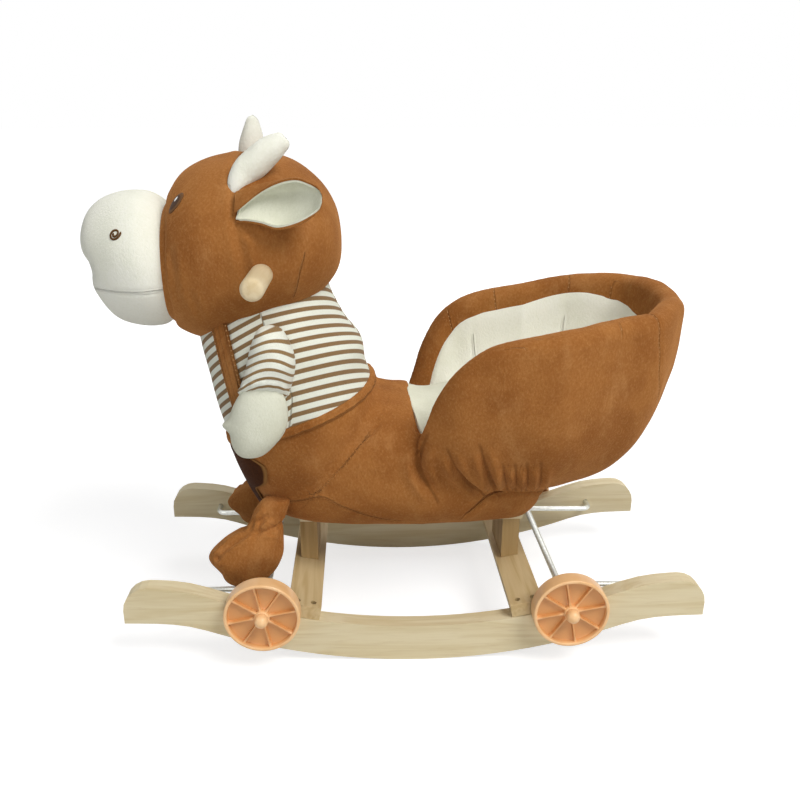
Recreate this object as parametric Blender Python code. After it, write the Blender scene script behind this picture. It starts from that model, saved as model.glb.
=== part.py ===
"""Rocking cow with flip-over wheels: wooden rockers, wire axle frames and a stuffed plush body.

Metres, +Z up, the cow faces -X and its left side is -Y. Lengths along X are measured from the middle
of the rockers. The assembly empty then carries everything so that the origin lies under the middle
of the whole toy, on the floor.
"""

from math import atan2, cos, log, pi, radians, sin, sqrt

import bmesh
import bpy
from mathutils import Matrix, Vector

# Clearances
GAP = 0.0003
BORE_CLEARANCE = 0.0004
WHEEL_SIDE_PLAY = 0.0022

# Rockers
ROCKER_HALF_LENGTH = 0.283
ROCKER_OUTER_WIDTH = 0.2372
ROCKER_THICKNESS = 0.017
ROCKER_DEPTH = 0.0385
ROCKER_RADIUS = 0.580
ROCKER_ARC_REACH = 0.205
ROCKER_TIP_HEIGHT = 0.0469
ROCKER_TIP_SLOPE = 0.03
ROCKER_TIP_ROUND = 0.024
ROCKER_ARC_STEPS = 23
ROCKER_TIP_STEPS = 5

# Crossbars on the rockers, and the posts on them
CROSSBAR_X = 0.1105
CROSSBAR_WIDTH = 0.032
CROSSBAR_THICKNESS = 0.014
CROSSBAR_END_INSET = 0.001
SCREW_SPACING = 0.0155
SCREW_INSET = 0.0085
SCREW_HEAD_RADIUS = 0.0027
SCREW_HEAD_HEIGHT = 0.002
SCREW_SHANK_RADIUS = 0.0016
SCREW_DEPTH = 0.024
SCREW_STEPS = 8
HOLE_OVERRUN = 0.001
COUNTERBORE_DEPTH = 0.004
POST_THICKNESS = 0.018
POST_WIDTH = 0.060
FRONT_POST_X = -0.1083
REAR_POST_X = 0.1065
POST_ROUGH_FOOT_Z = 0.020
POST_SCREW_DEPTH = 0.034

# Wire axle frames, which flip over the rocker tips
PIVOT_X = 0.2251
PIVOT_Z = 0.0607
AXLE_X = 0.1478
AXLE_RADIUS = 0.0035
ARM_RADIUS = 0.0028
ARM_Y = 0.0833
ARM_BEND_RADIUS = 0.009
PIVOT_HOLE_DEPTH = 0.012

# Wheels
WHEEL_RADIUS = 0.037
WHEEL_WIDTH = 0.0155
WHEEL_RIM = 0.0032
WHEEL_WEB = 0.0035
WHEEL_HUB_RADIUS = 0.0072
WHEEL_RIBS = 8
WHEEL_RIB_WIDTH = 0.0018
WHEEL_RIB_RECESS = 0.0022
WHEEL_STEPS = 20
CAP_STEPS = 12
CAP_RADIUS = 0.0068
CAP_LENGTH = 0.0105
CAP_WALL = 0.0032

# Boards inside the plush
BOARD_BOTTOM_Z = 0.1085
BOARD_THICKNESS = 0.012
BOARD_HALF_LENGTH = 0.1180
BOARD_WIDTH = 0.062
BOARD_HOLLOW_DEPTH = 0.020
NECK_THICKNESS = 0.015
NECK_WIDTH = 0.050
NECK_FOOT_X = -0.092
NECK_TOP_OVER_HANDLE = 0.022

# Handle dowel through the head
HANDLE_X = -0.138
HANDLE_Z = 0.381
HANDLE_RADIUS = 0.012
HANDLE_LENGTH = 0.312
HANDLE_END_ROUND = 0.004

# Head: where its stations lie, with the muzzle on its flat front
HEAD_FRONT_X = -0.2405
HEAD_BACK_X = -0.0695
HEAD_STEPS = 12
HEAD_SIDES = 20
MUZZLE_TIP_X = -0.3165
MUZZLE_ROOT_X = -0.2165
MUZZLE_STEPS = 9
MUZZLE_SIDES = 18
HEAD_POWER = 2.1
HORN_HALF_WIDTH = 0.0125
HORN_HALF_THICKNESS = 0.0105
EAR_HALF_WIDTH = 0.0225
EAR_HALF_THICKNESS = 0.0055
EAR_LINING_LIFT = 0.003
EAR_LINING_INSET = 0.04
LEAF_FULLNESS = 0.62
LEAF_STEPS = 7
LEAF_SIDES = 10
EAR_FULLEST = 0.55
EYE_PLACE = Vector((-0.2125, 0.0, 0.439))
EYE_HALF_WIDTH = 0.0050
EYE_HALF_HEIGHT = 0.0100
EYE_LEAN = radians(38)
EYE_THICKNESS = 0.0016
NOSTRIL_PLACE = Vector((-0.2680, 0.0, 0.411))
NOSTRIL_RADIUS = 0.0052
NOSTRIL_THICKNESS = 0.0008

# Body
BODY_SIDES = 20
TORSO_STEPS = 13
LOWER_BODY_STEPS = 14
HEM_BACK = Vector((-0.046, 0.0, 0.275))
HEM_SLOPE = 0.5
SEAM_POINT = Vector((-0.027, 0.0, 0.242))
SEAM_SLOPE = 0.816
STRAP_TOP = Vector((-0.1795, 0.0, 0.331))
STRAP_LOW = Vector((-0.158, 0.0, 0.2245))
STRAP_WIDTH = 0.013
STRAP_THICKNESS = 0.0022
PATCH_LOW_Z = 0.124
PATCH_HIGH_Z = 0.181
PATCH_HALF_ANGLE = radians(38)
PATCH_THICKNESS = 0.0025
PATCH_STEPS = 6
STRAP_STEPS = 8

# Arms, which swing on a drum of stuffing at the shoulder
SHOULDER = Vector((-0.133, 0.0, 0.318))
SHOULDER_DRUM_RADIUS = 0.0125
SHOULDER_DRUM_DEPTH = 0.012
SHOULDER_DRUM_SIDES = 16
SHOULDER_PLAY = 0.0006
ARM_INNER_Y = 0.0816
SLEEVE_END_Z = 0.2685

# Legs, which swing at their gathered necks
LEG_PIVOT = Vector((-0.137, 0.056, 0.1455))
LEG_STEPS = 10
LIMB_SIDES = 14
ARM_STEPS = 7
ARM_SIDES = 12

# Bucket seat
SEAT_X = 0.130
SEAT_BOTTOM_Z = 0.145
SEAT_FLOOR_Z = 0.196
SEAT_WALL = 0.024
SEAT_LINING = 0.004
SEAT_LINING_DROP = 0.012
SEAT_SWEEP = radians(148)
SEAT_BACK_SKEW = 0.029
SEAT_BACK_TILT = 0.009
SEAT_STATIONS = 24
SEAT_PROFILE_STEPS = 6
SEAT_LINING_FIRST_STEP = 3
SEAT_LINING_BOTTOM_Z = 0.2275
SEAT_WEDGE_REACH = 0.180
CUSHION_THICKNESS = 0.030
CUSHION_EDGE = 0.014
CUSHION_UNDER_CLEARANCE = 1.8
CUSHION_STEPS = 12
CUSHION_COLUMNS = 9
SADDLE_FRONT_X = -0.004
SADDLE_LENGTH = 0.050
SADDLE_HALF_WIDTH = 0.0715
SADDLE_SLANT = 0.016
SADDLE_RISE = 0.0012

# Where the middle of the whole toy lies along X, measured from the middle of the rockers
ASSEMBLY_MIDDLE_X = (MUZZLE_TIP_X + ROCKER_HALF_LENGTH) / 2

# Colours as linear red, green and blue, with a roughness and a metallic value
WOOD = ((0.62, 0.50, 0.31), 0.6, 0.0)
PLY = ((0.55, 0.42, 0.26), 0.7, 0.0)
STEEL = ((0.72, 0.74, 0.72), 0.35, 0.8)
DARK_STEEL = ((0.10, 0.09, 0.08), 0.5, 0.8)
PEACH = ((0.85, 0.48, 0.22), 0.35, 0.0)
BROWN = ((0.36, 0.13, 0.038), 0.9, 0.0)
CREAM = ((0.83, 0.81, 0.68), 0.95, 0.0)
SHIRT = ((0.62, 0.52, 0.38), 0.95, 0.0)
DARK_BROWN = ((0.045, 0.012, 0.004), 0.5, 0.0)

LEFT = -1
RIGHT = 1
SIDES = ((LEFT, "left"), (RIGHT, "right"))
FRONT = -1
REAR = 1
ENDS = ((FRONT, "front"), (REAR, "rear"))


def clear_scene():
    for old in list(bpy.data.objects):
        bpy.data.objects.remove(old, do_unlink=True)


def material(name, look):
    colour, roughness, metallic = look
    made = bpy.data.materials.get(name) or bpy.data.materials.new(name)
    made.use_nodes = True
    shader = made.node_tree.nodes["Principled BSDF"]
    shader.inputs["Base Color"].default_value = (*colour, 1.0)
    shader.inputs["Roughness"].default_value = roughness
    shader.inputs["Metallic"].default_value = metallic
    made.diffuse_color = (*colour, 1.0)
    return made


def add_object(name, bm, assembly, look=None, look_name=None, pivot=None, smooth=35):
    """Makes a named object from bm, whose points are in the toy's own frame, with its origin at pivot."""
    pivot = pivot or Vector()
    bmesh.ops.recalc_face_normals(bm, faces=bm.faces)
    bmesh.ops.translate(bm, vec=-pivot, verts=bm.verts)
    mesh = bpy.data.meshes.new(name)
    bm.to_mesh(mesh)
    bm.free()
    mesh.shade_smooth()
    mesh.set_sharp_from_angle(angle=radians(smooth))
    made = bpy.data.objects.new(name, mesh)
    bpy.context.collection.objects.link(made)
    made.parent = assembly
    made.location = pivot
    if look:
        mesh.materials.append(material(look_name, look))
    return made


def add_cutter(name, bm, assembly):
    made = add_object(name, bm, assembly)
    made.hide_render = True
    made.display_type = "WIRE"
    return made


def cut(target, cutter):
    modifier = target.modifiers.new("cut by " + cutter.name, "BOOLEAN")
    modifier.operation = "DIFFERENCE"
    modifier.solver = "EXACT"
    modifier.object = cutter
    return target


# Mesh builders


def skin(bm, rows, closed=True):
    """Joins rows of vertices with triangles whose diagonals all run alike, so a larger copy stays outside."""
    count = len(rows[0])
    for row, following in zip(rows, rows[1:]):
        for i in range(count if closed else count - 1):
            j = (i + 1) % count
            for corners in ((row[i], row[j], following[j]), (row[i], following[j], following[i])):
                if len(set(corners)) == 3:
                    bm.faces.new(corners)


def loft(rings, poles=None):
    """Skins rings of equally many points, with each end closed by a fan to its pole."""
    bm = bmesh.new()
    rows = [[bm.verts.new(p) for p in ring] for ring in rings]
    count = len(rows[0])
    skin(bm, rows)
    ends = poles or (middle(rings[0]), middle(rings[-1]))
    for row, pole in zip((rows[0], rows[-1]), ends):
        tip = bm.verts.new(pole)
        for i in range(count):
            bm.faces.new((row[i], row[(i + 1) % count], tip))
    return bm


def middle(points):
    return sum(points, Vector()) / len(points)


def ring(centre, right, up, half_right, half_up, power=2.0, count=20):
    """A superellipse about centre, in the plane of the unit vectors right and up."""
    points = []
    for i in range(count):
        angle = 2 * pi * (i + 0.5) / count
        c = cos(angle)
        s = sin(angle)
        across = half_right * abs(c) ** (2 / power) * (1 if c > 0 else -1)
        along = half_up * abs(s) ** (2 / power) * (1 if s > 0 else -1)
        points.append(centre + right * across + up * along)
    return points


def turned(profile, axis_point, axis, steps=16, start=0.0):
    """A solid of revolution: profile holds pairs of a length along the axis and a radius."""
    along = axis.normalized()
    side = along.orthogonal().normalized()
    other = along.cross(side)
    rings = []
    for length, radius in profile:
        row = []
        for i in range(steps):
            angle = 2 * pi * i / steps + start
            row.append(axis_point + along * length + (side * cos(angle) + other * sin(angle)) * radius)
        rings.append(row)
    poles = (axis_point + along * profile[0][0], axis_point + along * profile[-1][0])
    return loft(rings, poles)


def tube_ring(profile, axis_point, axis, steps=16):
    """A ring turned about an axis from a closed profile of lengths and radii."""
    along = axis.normalized()
    side = along.orthogonal().normalized()
    other = along.cross(side)
    bm = bmesh.new()
    rows = []
    for i in range(steps):
        angle = 2 * pi * i / steps
        out = side * cos(angle) + other * sin(angle)
        rows.append([bm.verts.new(axis_point + along * a + out * r) for a, r in profile])
    for row, following in zip(rows, rows[1:] + rows[:1]):
        for k in range(len(profile)):
            m = (k + 1) % len(profile)
            bm.faces.new((row[k], row[m], following[m], following[k]))
    return bm


def wire(route, radius, sides=10):
    """A round bar along a list of points, with flat ends."""
    rings = []
    for i, point in enumerate(route):
        before = route[max(i - 1, 0)]
        after = route[min(i + 1, len(route) - 1)]
        along = (after - before).normalized()
        up = Vector((0, 0, 1)) if abs(along.z) < 0.9 else Vector((1, 0, 0))
        right = along.cross(up).normalized()
        lift = right.cross(along)
        stretch = 1.0
        if 0 < i < len(route) - 1:
            stretch = 1 / max(cos((point - before).angle(after - point) / 2), 0.5)
        rings.append(ring(point, right * stretch, lift, radius, radius, 2.0, sides))
    return loft(rings)


def leaf(root, tip, face, half_width, half_thickness, fullest=0.42, grow=0.0):
    """A stuffed leaf between two points: widest partway along, pointed at both ends."""
    along = (tip - root).normalized()
    across = face.cross(along).normalized()
    normal = along.cross(across)
    length = (tip - root).length
    bend = log(0.5) / log(fullest)
    rings = []
    for i in range(LEAF_STEPS):
        t = (i + 0.5) / LEAF_STEPS
        swell = sin(pi * t**bend) ** LEAF_FULLNESS
        centre = root + along * (length * t)
        rings.append(
            ring(centre, across, normal, half_width * swell + grow, half_thickness * swell + grow, 2.0, LEAF_SIDES)
        )
    return loft(rings, (root - along * grow, tip + along * grow))


def block(low, high):
    bm = bmesh.new()
    bmesh.ops.create_cube(bm, size=1.0)
    size = high - low
    bmesh.ops.scale(bm, vec=size, verts=bm.verts)
    bmesh.ops.translate(bm, vec=(low + high) / 2, verts=bm.verts)
    return bm


def prism(outline, low_y, high_y):
    """A board cut to an outline of X and Z pairs, standing between two planes of Y."""
    bm = bmesh.new()
    near = [bm.verts.new((x, low_y, z)) for x, z in outline]
    far = [bm.verts.new((x, high_y, z)) for x, z in outline]
    bm.faces.new(near)
    bm.faces.new(far[::-1])
    for i in range(len(outline)):
        j = (i + 1) % len(outline)
        bm.faces.new((near[i], far[i], far[j], near[j]))
    return bm


def keep_side(bm, point, normal):
    """Cuts bm with a plane, keeps what lies behind it and closes the cut with a flat face."""
    geometry = bm.verts[:] + bm.edges[:] + bm.faces[:]
    done = bmesh.ops.bisect_plane(
        bm, geom=geometry, dist=1e-7, plane_co=point, plane_no=normal, clear_outer=True
    )
    edges = [e for e in done["geom_cut"] if isinstance(e, bmesh.types.BMEdge)]
    bmesh.ops.edgenet_fill(bm, edges=edges)
    return bm


def blend(table, at):
    """Reads a smooth curve through rows of a place and values, with level ends."""
    rows = sorted(table)
    places = [row[0] for row in rows]
    at = min(max(at, places[0]), places[-1])
    k = 0
    while k < len(rows) - 2 and at > places[k + 1]:
        k += 1
    width = places[k + 1] - places[k]
    t = (at - places[k]) / width
    values = []
    for column in range(1, len(rows[0])):
        here = rows[k][column]
        there = rows[k + 1][column]
        slopes = []
        for m in (k, k + 1):
            if 0 < m < len(rows) - 1:
                rise = rows[m + 1][column] - rows[m - 1][column]
                slopes.append(rise / (places[m + 1] - places[m - 1]))
            else:
                slopes.append((there - here) / width)
        start, end = slopes
        values.append(
            (2 * t**3 - 3 * t**2 + 1) * here
            + (t**3 - 2 * t**2 + t) * width * start
            + (3 * t**2 - 2 * t**3) * there
            + (t**3 - t**2) * width * end
        )
    return values


# Rockers


def rocker_bottom(x):
    """Height of the rocker's lower edge: an arc that flattens out towards the tip."""
    reach = abs(x)
    if reach <= ROCKER_ARC_REACH:
        return ROCKER_RADIUS - sqrt(ROCKER_RADIUS**2 - reach**2)
    start = ROCKER_RADIUS - sqrt(ROCKER_RADIUS**2 - ROCKER_ARC_REACH**2)
    slope = ROCKER_ARC_REACH / sqrt(ROCKER_RADIUS**2 - ROCKER_ARC_REACH**2)
    width = ROCKER_HALF_LENGTH - ROCKER_ARC_REACH
    t = (reach - ROCKER_ARC_REACH) / width
    return (
        (2 * t**3 - 3 * t**2 + 1) * start
        + (t**3 - 2 * t**2 + t) * width * slope
        + (3 * t**2 - 2 * t**3) * ROCKER_TIP_HEIGHT
        + (t**3 - t**2) * width * ROCKER_TIP_SLOPE
    )


def rocker_top(x):
    return rocker_bottom(x) + ROCKER_DEPTH


def rocker_slope(x):
    step = 0.001
    return (rocker_top(x + step) - rocker_top(x - step)) / (2 * step)


def rocker_outline():
    arc = [ROCKER_ARC_REACH * (2 * i / ROCKER_ARC_STEPS - 1) for i in range(ROCKER_ARC_STEPS + 1)]
    tip_width = ROCKER_HALF_LENGTH - ROCKER_ARC_REACH
    tip = [ROCKER_ARC_REACH + tip_width * (i + 1) / ROCKER_TIP_STEPS for i in range(ROCKER_TIP_STEPS)]
    lower = [(x, rocker_bottom(x)) for x in [-x for x in reversed(tip)] + arc + tip]
    # an odd count of equal arc steps leaves one level facet under the middle, down to the floor
    floor = min(z for _, z in lower)
    lower = [(x, z - floor) for x, z in lower]
    start_x = ROCKER_HALF_LENGTH - ROCKER_TIP_ROUND
    round_part = []
    for i in range(6):
        angle = pi / 2 * i / 5
        x = start_x + ROCKER_TIP_ROUND * sin(angle)
        drop = ROCKER_TIP_ROUND * (1 - cos(angle))
        round_part.append((x, rocker_top(start_x) - drop))
    upper = [(x, rocker_top(x)) for x in arc + tip if abs(x) < start_x - 0.004]
    upper = [(-x, z) for x, z in reversed(upper) if x > ROCKER_ARC_REACH] + upper
    top = [(-x, z) for x, z in reversed(round_part)] + upper + round_part
    return lower + top[::-1]


def rocker_inner_y():
    return ROCKER_OUTER_WIDTH / 2 - ROCKER_THICKNESS


def crossbar_frame(end):
    """The crossbar's centre on its lower face, its direction up the slope and its upward normal."""
    slope = end * atan2(rocker_slope(CROSSBAR_X), 1)
    along = Vector((cos(slope), 0, sin(slope)))
    normal = Vector((-sin(slope), 0, cos(slope)))
    x = end * CROSSBAR_X
    # the board bridges the hollow curve, so it rides on the highest point under it
    lift = max(
        (rocker_top(x + along.x * s) - rocker_top(x)) - along.z * s
        for s in (-CROSSBAR_WIDTH / 2, 0, CROSSBAR_WIDTH / 2)
    )
    base = Vector((x, 0, rocker_top(x) + lift)) + normal * GAP
    return base, along, normal


def oriented_box(base, along, normal, length, width, thickness):
    """A board lying on base, with its width along the slope and its length along Y."""
    bm = block(
        Vector((-width / 2, -length / 2, 0)),
        Vector((width / 2, length / 2, thickness)),
    )
    turn = Matrix((along, Vector((0, 1, 0)), normal)).transposed().to_4x4()
    bmesh.ops.transform(bm, matrix=Matrix.Translation(base) @ turn, verts=bm.verts)
    return bm


def screw_seats(end):
    base, along, normal = crossbar_frame(end)
    seats = []
    for side, side_name in SIDES:
        for step, step_name in ((-0.5, "a"), (0.5, "b")):
            y = side * (ROCKER_OUTER_WIDTH / 2 - SCREW_INSET)
            point = base + along * (step * SCREW_SPACING) + normal * CROSSBAR_THICKNESS
            seats.append((side_name + "_screw_" + step_name, Vector((point.x, y, point.z))))
    return seats, normal


def screw_profile(clearance, depth_extra):
    """Head and shank of a crossbar screw, measured downwards from the crossbar's top."""
    top = COUNTERBORE_DEPTH - (COUNTERBORE_DEPTH + 0.002 if depth_extra else 0)
    under_head = COUNTERBORE_DEPTH + SCREW_HEAD_HEIGHT + (clearance if depth_extra else 0)
    head = SCREW_HEAD_RADIUS + clearance
    shank = SCREW_SHANK_RADIUS + clearance
    return [(top, head), (under_head, head), (under_head, shank), (SCREW_DEPTH + depth_extra, shank)]


def join_meshes(parts):
    whole = bmesh.new()
    for part in parts:
        mesh = bpy.data.meshes.new("joined")
        part.to_mesh(mesh)
        part.free()
        whole.from_mesh(mesh)
        bpy.data.meshes.remove(mesh)
    return whole


def screw_solid(seat, normal, clearance=0.0, depth_extra=0.0):
    return turned(screw_profile(clearance, depth_extra), seat, -normal, SCREW_STEPS)


def screw_set(ends, clearance, depth_extra):
    parts = []
    for end in ends:
        seats, normal = screw_seats(end)
        parts += [screw_solid(seat, normal, clearance, depth_extra) for _, seat in seats]
    return join_meshes(parts)


def make_rockers(assembly):
    outline = rocker_outline()
    outer = ROCKER_OUTER_WIDTH / 2
    for side, side_name in SIDES:
        near = side * rocker_inner_y()
        far = side * outer
        rocker = add_object(
            side_name + "_rocker",
            prism(outline, min(near, far), max(near, far)),
            assembly,
            WOOD,
            "pale_wood",
            smooth=30,
        )
        holes = []
        for end, _ in ENDS:
            mouth = Vector((end * PIVOT_X, side * (rocker_inner_y() - 0.002), PIVOT_Z))
            reach = PIVOT_HOLE_DEPTH + 0.002
            profile = [(0, ARM_RADIUS + BORE_CLEARANCE), (reach, ARM_RADIUS + BORE_CLEARANCE)]
            holes.append(turned(profile, mouth, Vector((0, side, 0)), 12))
        cut(rocker, add_cutter(side_name + "_pivot_holes", join_meshes(holes), assembly))
        screw_holes = screw_set((FRONT, REAR), BORE_CLEARANCE, HOLE_OVERRUN)
        cut(rocker, add_cutter(side_name + "_rocker_screw_holes", screw_holes, assembly))


def post_screw_profile(clearance, depth_extra):
    head = SCREW_HEAD_RADIUS + clearance
    shank = SCREW_SHANK_RADIUS + clearance
    start = -0.002 if depth_extra else 0.0005
    under_head = 0.0005 + SCREW_HEAD_HEIGHT + (clearance if depth_extra else 0)
    return [(start, head), (under_head, head), (under_head, shank), (POST_SCREW_DEPTH + depth_extra, shank)]


def post_screw(end, post_x, clearance=0.0, depth_extra=0.0):
    """The screw that runs up through a crossbar into its post."""
    base, along, normal = crossbar_frame(end)
    start = base + along * ((post_x - base.x) / along.x)
    return turned(post_screw_profile(clearance, depth_extra), start, normal, SCREW_STEPS)


def make_crossbars(assembly):
    length = ROCKER_OUTER_WIDTH - 2 * CROSSBAR_END_INSET
    for (end, end_name), post_x in zip(ENDS, (FRONT_POST_X, REAR_POST_X)):
        base, along, normal = crossbar_frame(end)
        board = oriented_box(base, along, normal, length, CROSSBAR_WIDTH, CROSSBAR_THICKNESS)
        crossbar = add_object(end_name + "_crossbar", board, assembly, WOOD, "pale_wood")
        holes = screw_set((end,), BORE_CLEARANCE, HOLE_OVERRUN)
        cut(crossbar, add_cutter(end_name + "_crossbar_holes", holes, assembly))
        foot_hole = add_cutter(
            end_name + "_post_screw_hole", post_screw(end, post_x, BORE_CLEARANCE, HOLE_OVERRUN), assembly
        )
        cut(crossbar, foot_hole)
        seats, _ = screw_seats(end)
        for name, seat in seats:
            add_object(end_name + "_" + name, screw_solid(seat, normal), assembly, DARK_STEEL, "dark_screw")
        add_object(end_name + "_post_screw", post_screw(end, post_x), assembly, DARK_STEEL, "dark_screw")
        post = block(
            Vector((post_x - POST_THICKNESS / 2, -POST_WIDTH / 2, POST_ROUGH_FOOT_Z)),
            Vector((post_x + POST_THICKNESS / 2, POST_WIDTH / 2, BOARD_BOTTOM_Z - GAP)),
        )
        keep_side(post, base + normal * (CROSSBAR_THICKNESS + GAP), -normal)
        cut(add_object(end_name + "_post", post, assembly, WOOD, "pale_wood"), foot_hole)


# Axle frames and wheels


def axle_z():
    """The axle rod rests on the rockers' tops, touching the slope beside its centre."""
    slope = rocker_slope(AXLE_X)
    return rocker_top(AXLE_X) + (AXLE_RADIUS + GAP) * sqrt(1 + slope**2)


def wheel_inner_y():
    return ROCKER_OUTER_WIDTH / 2 + WHEEL_SIDE_PLAY


def wheel_outer_y():
    return wheel_inner_y() + WHEEL_WIDTH


def arm_route(end, side):
    pivot = Vector((end * PIVOT_X, side * ARM_Y, PIVOT_Z))
    axle = Vector((end * AXLE_X, side * ARM_Y, axle_z()))
    along = (axle - pivot).normalized()
    out = Vector((0, side, 0))
    route = [pivot + out * (rocker_inner_y() - ARM_Y + PIVOT_HOLE_DEPTH - GAP)]
    for i in range(5):
        angle = pi / 2 * i / 4
        centre = pivot + (out + along) * ARM_BEND_RADIUS
        route.append(centre - along * (ARM_BEND_RADIUS * cos(angle)) - out * (ARM_BEND_RADIUS * sin(angle)))
    route.append(axle - along * (AXLE_RADIUS + GAP))
    return route


def make_axle_frames(assembly):
    for end, end_name in ENDS:
        pivot = Vector((end * PIVOT_X, 0, PIVOT_Z))
        half = wheel_outer_y() + CAP_LENGTH - CAP_WALL
        rod = wire(
            [Vector((end * AXLE_X, -half, axle_z())), Vector((end * AXLE_X, half, axle_z()))],
            AXLE_RADIUS,
            12,
        )
        add_object(end_name + "_axle_rod", rod, assembly, STEEL, "steel_wire", pivot)
        for side, side_name in SIDES:
            arm = wire(arm_route(end, side), ARM_RADIUS)
            name = end_name + "_" + side_name + "_axle_arm"
            add_object(name, arm, assembly, STEEL, "steel_wire", pivot)


def wheel_profile():
    """Rim, recessed web and hub as a closed outline of lengths from the inner face and radii."""
    bore = AXLE_RADIUS + BORE_CLEARANCE
    web_start = WHEEL_WIDTH / 2 - WHEEL_WEB / 2
    web_end = web_start + WHEEL_WEB
    rim_in = WHEEL_RADIUS - WHEEL_RIM
    edge = 0.0008
    return [
        (0, bore),
        (0, WHEEL_HUB_RADIUS),
        (web_start, WHEEL_HUB_RADIUS),
        (web_start, rim_in),
        (0, rim_in),
        (0, WHEEL_RADIUS - edge),
        (edge, WHEEL_RADIUS),
        (WHEEL_WIDTH - edge, WHEEL_RADIUS),
        (WHEEL_WIDTH, WHEEL_RADIUS - edge),
        (WHEEL_WIDTH, rim_in),
        (web_end, rim_in),
        (web_end, WHEEL_HUB_RADIUS),
        (WHEEL_WIDTH, WHEEL_HUB_RADIUS),
        (WHEEL_WIDTH, bore),
    ]


def wheel_ribs(side, centre):
    """Radial ribs on both faces of the web, sunk into rim and hub, each with the web between its halves."""
    parts = []
    depth = WHEEL_WIDTH - 2 * WHEEL_RIB_RECESS
    for i in range(WHEEL_RIBS):
        rib = block(
            Vector((WHEEL_HUB_RADIUS - 0.001, WHEEL_RIB_RECESS, -WHEEL_RIB_WIDTH / 2)),
            Vector((WHEEL_RADIUS - WHEEL_RIM + 0.001, WHEEL_RIB_RECESS + depth, WHEEL_RIB_WIDTH / 2)),
        )
        turn = Matrix.Rotation(2 * pi * (i + 0.25) / WHEEL_RIBS, 4, "Y")
        if side < 0:
            turn = Matrix.Scale(-1, 4, Vector((0, 1, 0))) @ turn
        bmesh.ops.transform(rib, matrix=Matrix.Translation(centre) @ turn, verts=rib.verts)
        bmesh.ops.recalc_face_normals(rib, faces=rib.faces)
        parts.append(rib)
    return join_meshes(parts)


def cap_solid(start, out):
    """The cap turned about the axle, with its blind hole open towards the wheel."""
    hole = AXLE_RADIUS + BORE_CLEARANCE
    depth = CAP_LENGTH - CAP_WALL + GAP
    profile = [(depth, hole), (0.0, hole), (0.0, CAP_RADIUS * 0.92)]
    rows = 4
    for i in range(rows):
        angle = pi / 2 * (1 - i / rows)
        profile.append((CAP_LENGTH - CAP_RADIUS * (1 - cos(angle)), CAP_RADIUS * sin(angle)))
    return turned(profile, start, out, CAP_STEPS)


def make_wheels(assembly):
    for end, end_name in ENDS:
        for side, side_name in SIDES:
            name = end_name + "_" + side_name
            inner = Vector((end * AXLE_X, side * wheel_inner_y(), axle_z()))
            out = Vector((0, side, 0))
            wheel = add_object(
                name + "_wheel",
                tube_ring(wheel_profile(), inner, out, WHEEL_STEPS),
                assembly,
                PEACH,
                "peach_plastic",
                inner,
            )
            ribs = add_cutter(name + "_wheel_ribs", wheel_ribs(side, inner), assembly)
            join = wheel.modifiers.new("ribs", "BOOLEAN")
            join.operation = "UNION"
            join.solver = "EXACT"
            join.object = ribs
            cap_start = inner + out * (WHEEL_WIDTH + GAP)
            add_object(
                name + "_axle_cap",
                cap_solid(cap_start, out),
                assembly,
                PEACH,
                "peach_plastic",
                Vector((end * PIVOT_X, 0, PIVOT_Z)),
            )


# Boards inside the plush, and the handle


def neck_direction():
    foot = Vector((NECK_FOOT_X, 0, BOARD_BOTTOM_Z + BOARD_THICKNESS))
    handle = Vector((HANDLE_X, 0, HANDLE_Z))
    return foot, (handle - foot).normalized(), (handle - foot).length


def neck_solid(clearance=0.0):
    foot, up, reach = neck_direction()
    across = Vector((0, 1, 0)).cross(up)
    half_x = NECK_WIDTH / 2 + clearance
    half_y = NECK_THICKNESS / 2 + clearance
    corners = []
    for sx, sy in ((-1, -1), (1, -1), (1, 1), (-1, 1)):
        corners.append(across * (sx * half_x) + Vector((0, sy * half_y, 0)))
    low = -NECK_WIDTH / 2
    high = reach + NECK_TOP_OVER_HANDLE + clearance
    bm = loft([[foot + up * low + c for c in corners], [foot + up * high + c for c in corners]])
    cut_z = BOARD_BOTTOM_Z + BOARD_THICKNESS + GAP - clearance * 2
    keep_side(bm, Vector((0, 0, cut_z)), Vector((0, 0, -1)))
    return bm


def board_solid(clearance=0.0, below=0.0):
    """The seat's board; as a hollow it runs on below, since the plush is stapled round the board's edge."""
    half = Vector((BOARD_HALF_LENGTH + clearance, BOARD_WIDTH / 2 + clearance, 0))
    low = Vector((0, 0, BOARD_BOTTOM_Z - below)) - half
    high = Vector((0, 0, BOARD_BOTTOM_Z + BOARD_THICKNESS + clearance)) + half
    return block(low, high)


def handle_profile(clearance=0.0):
    half = HANDLE_LENGTH / 2
    radius = HANDLE_RADIUS + clearance
    edge = HANDLE_END_ROUND
    return [
        (-half, radius - edge),
        (-half + edge * 0.3, radius - edge * 0.3),
        (-half + edge, radius),
        (half - edge, radius),
        (half - edge * 0.3, radius - edge * 0.3),
        (half, radius - edge),
    ]


def handle_solid(clearance=0.0):
    return turned(handle_profile(clearance), Vector((HANDLE_X, 0, HANDLE_Z)), Vector((0, 1, 0)), 16)


def make_boards(assembly):
    add_object("seat_board", board_solid(), assembly, PLY, "plywood")
    neck = add_object("neck_board", neck_solid(), assembly, PLY, "plywood")
    cut(neck, add_cutter("handle_hole", handle_solid(BORE_CLEARANCE), assembly))
    add_object("handle_bar", handle_solid(), assembly, WOOD, "pale_wood")


# Stuffed body


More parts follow.
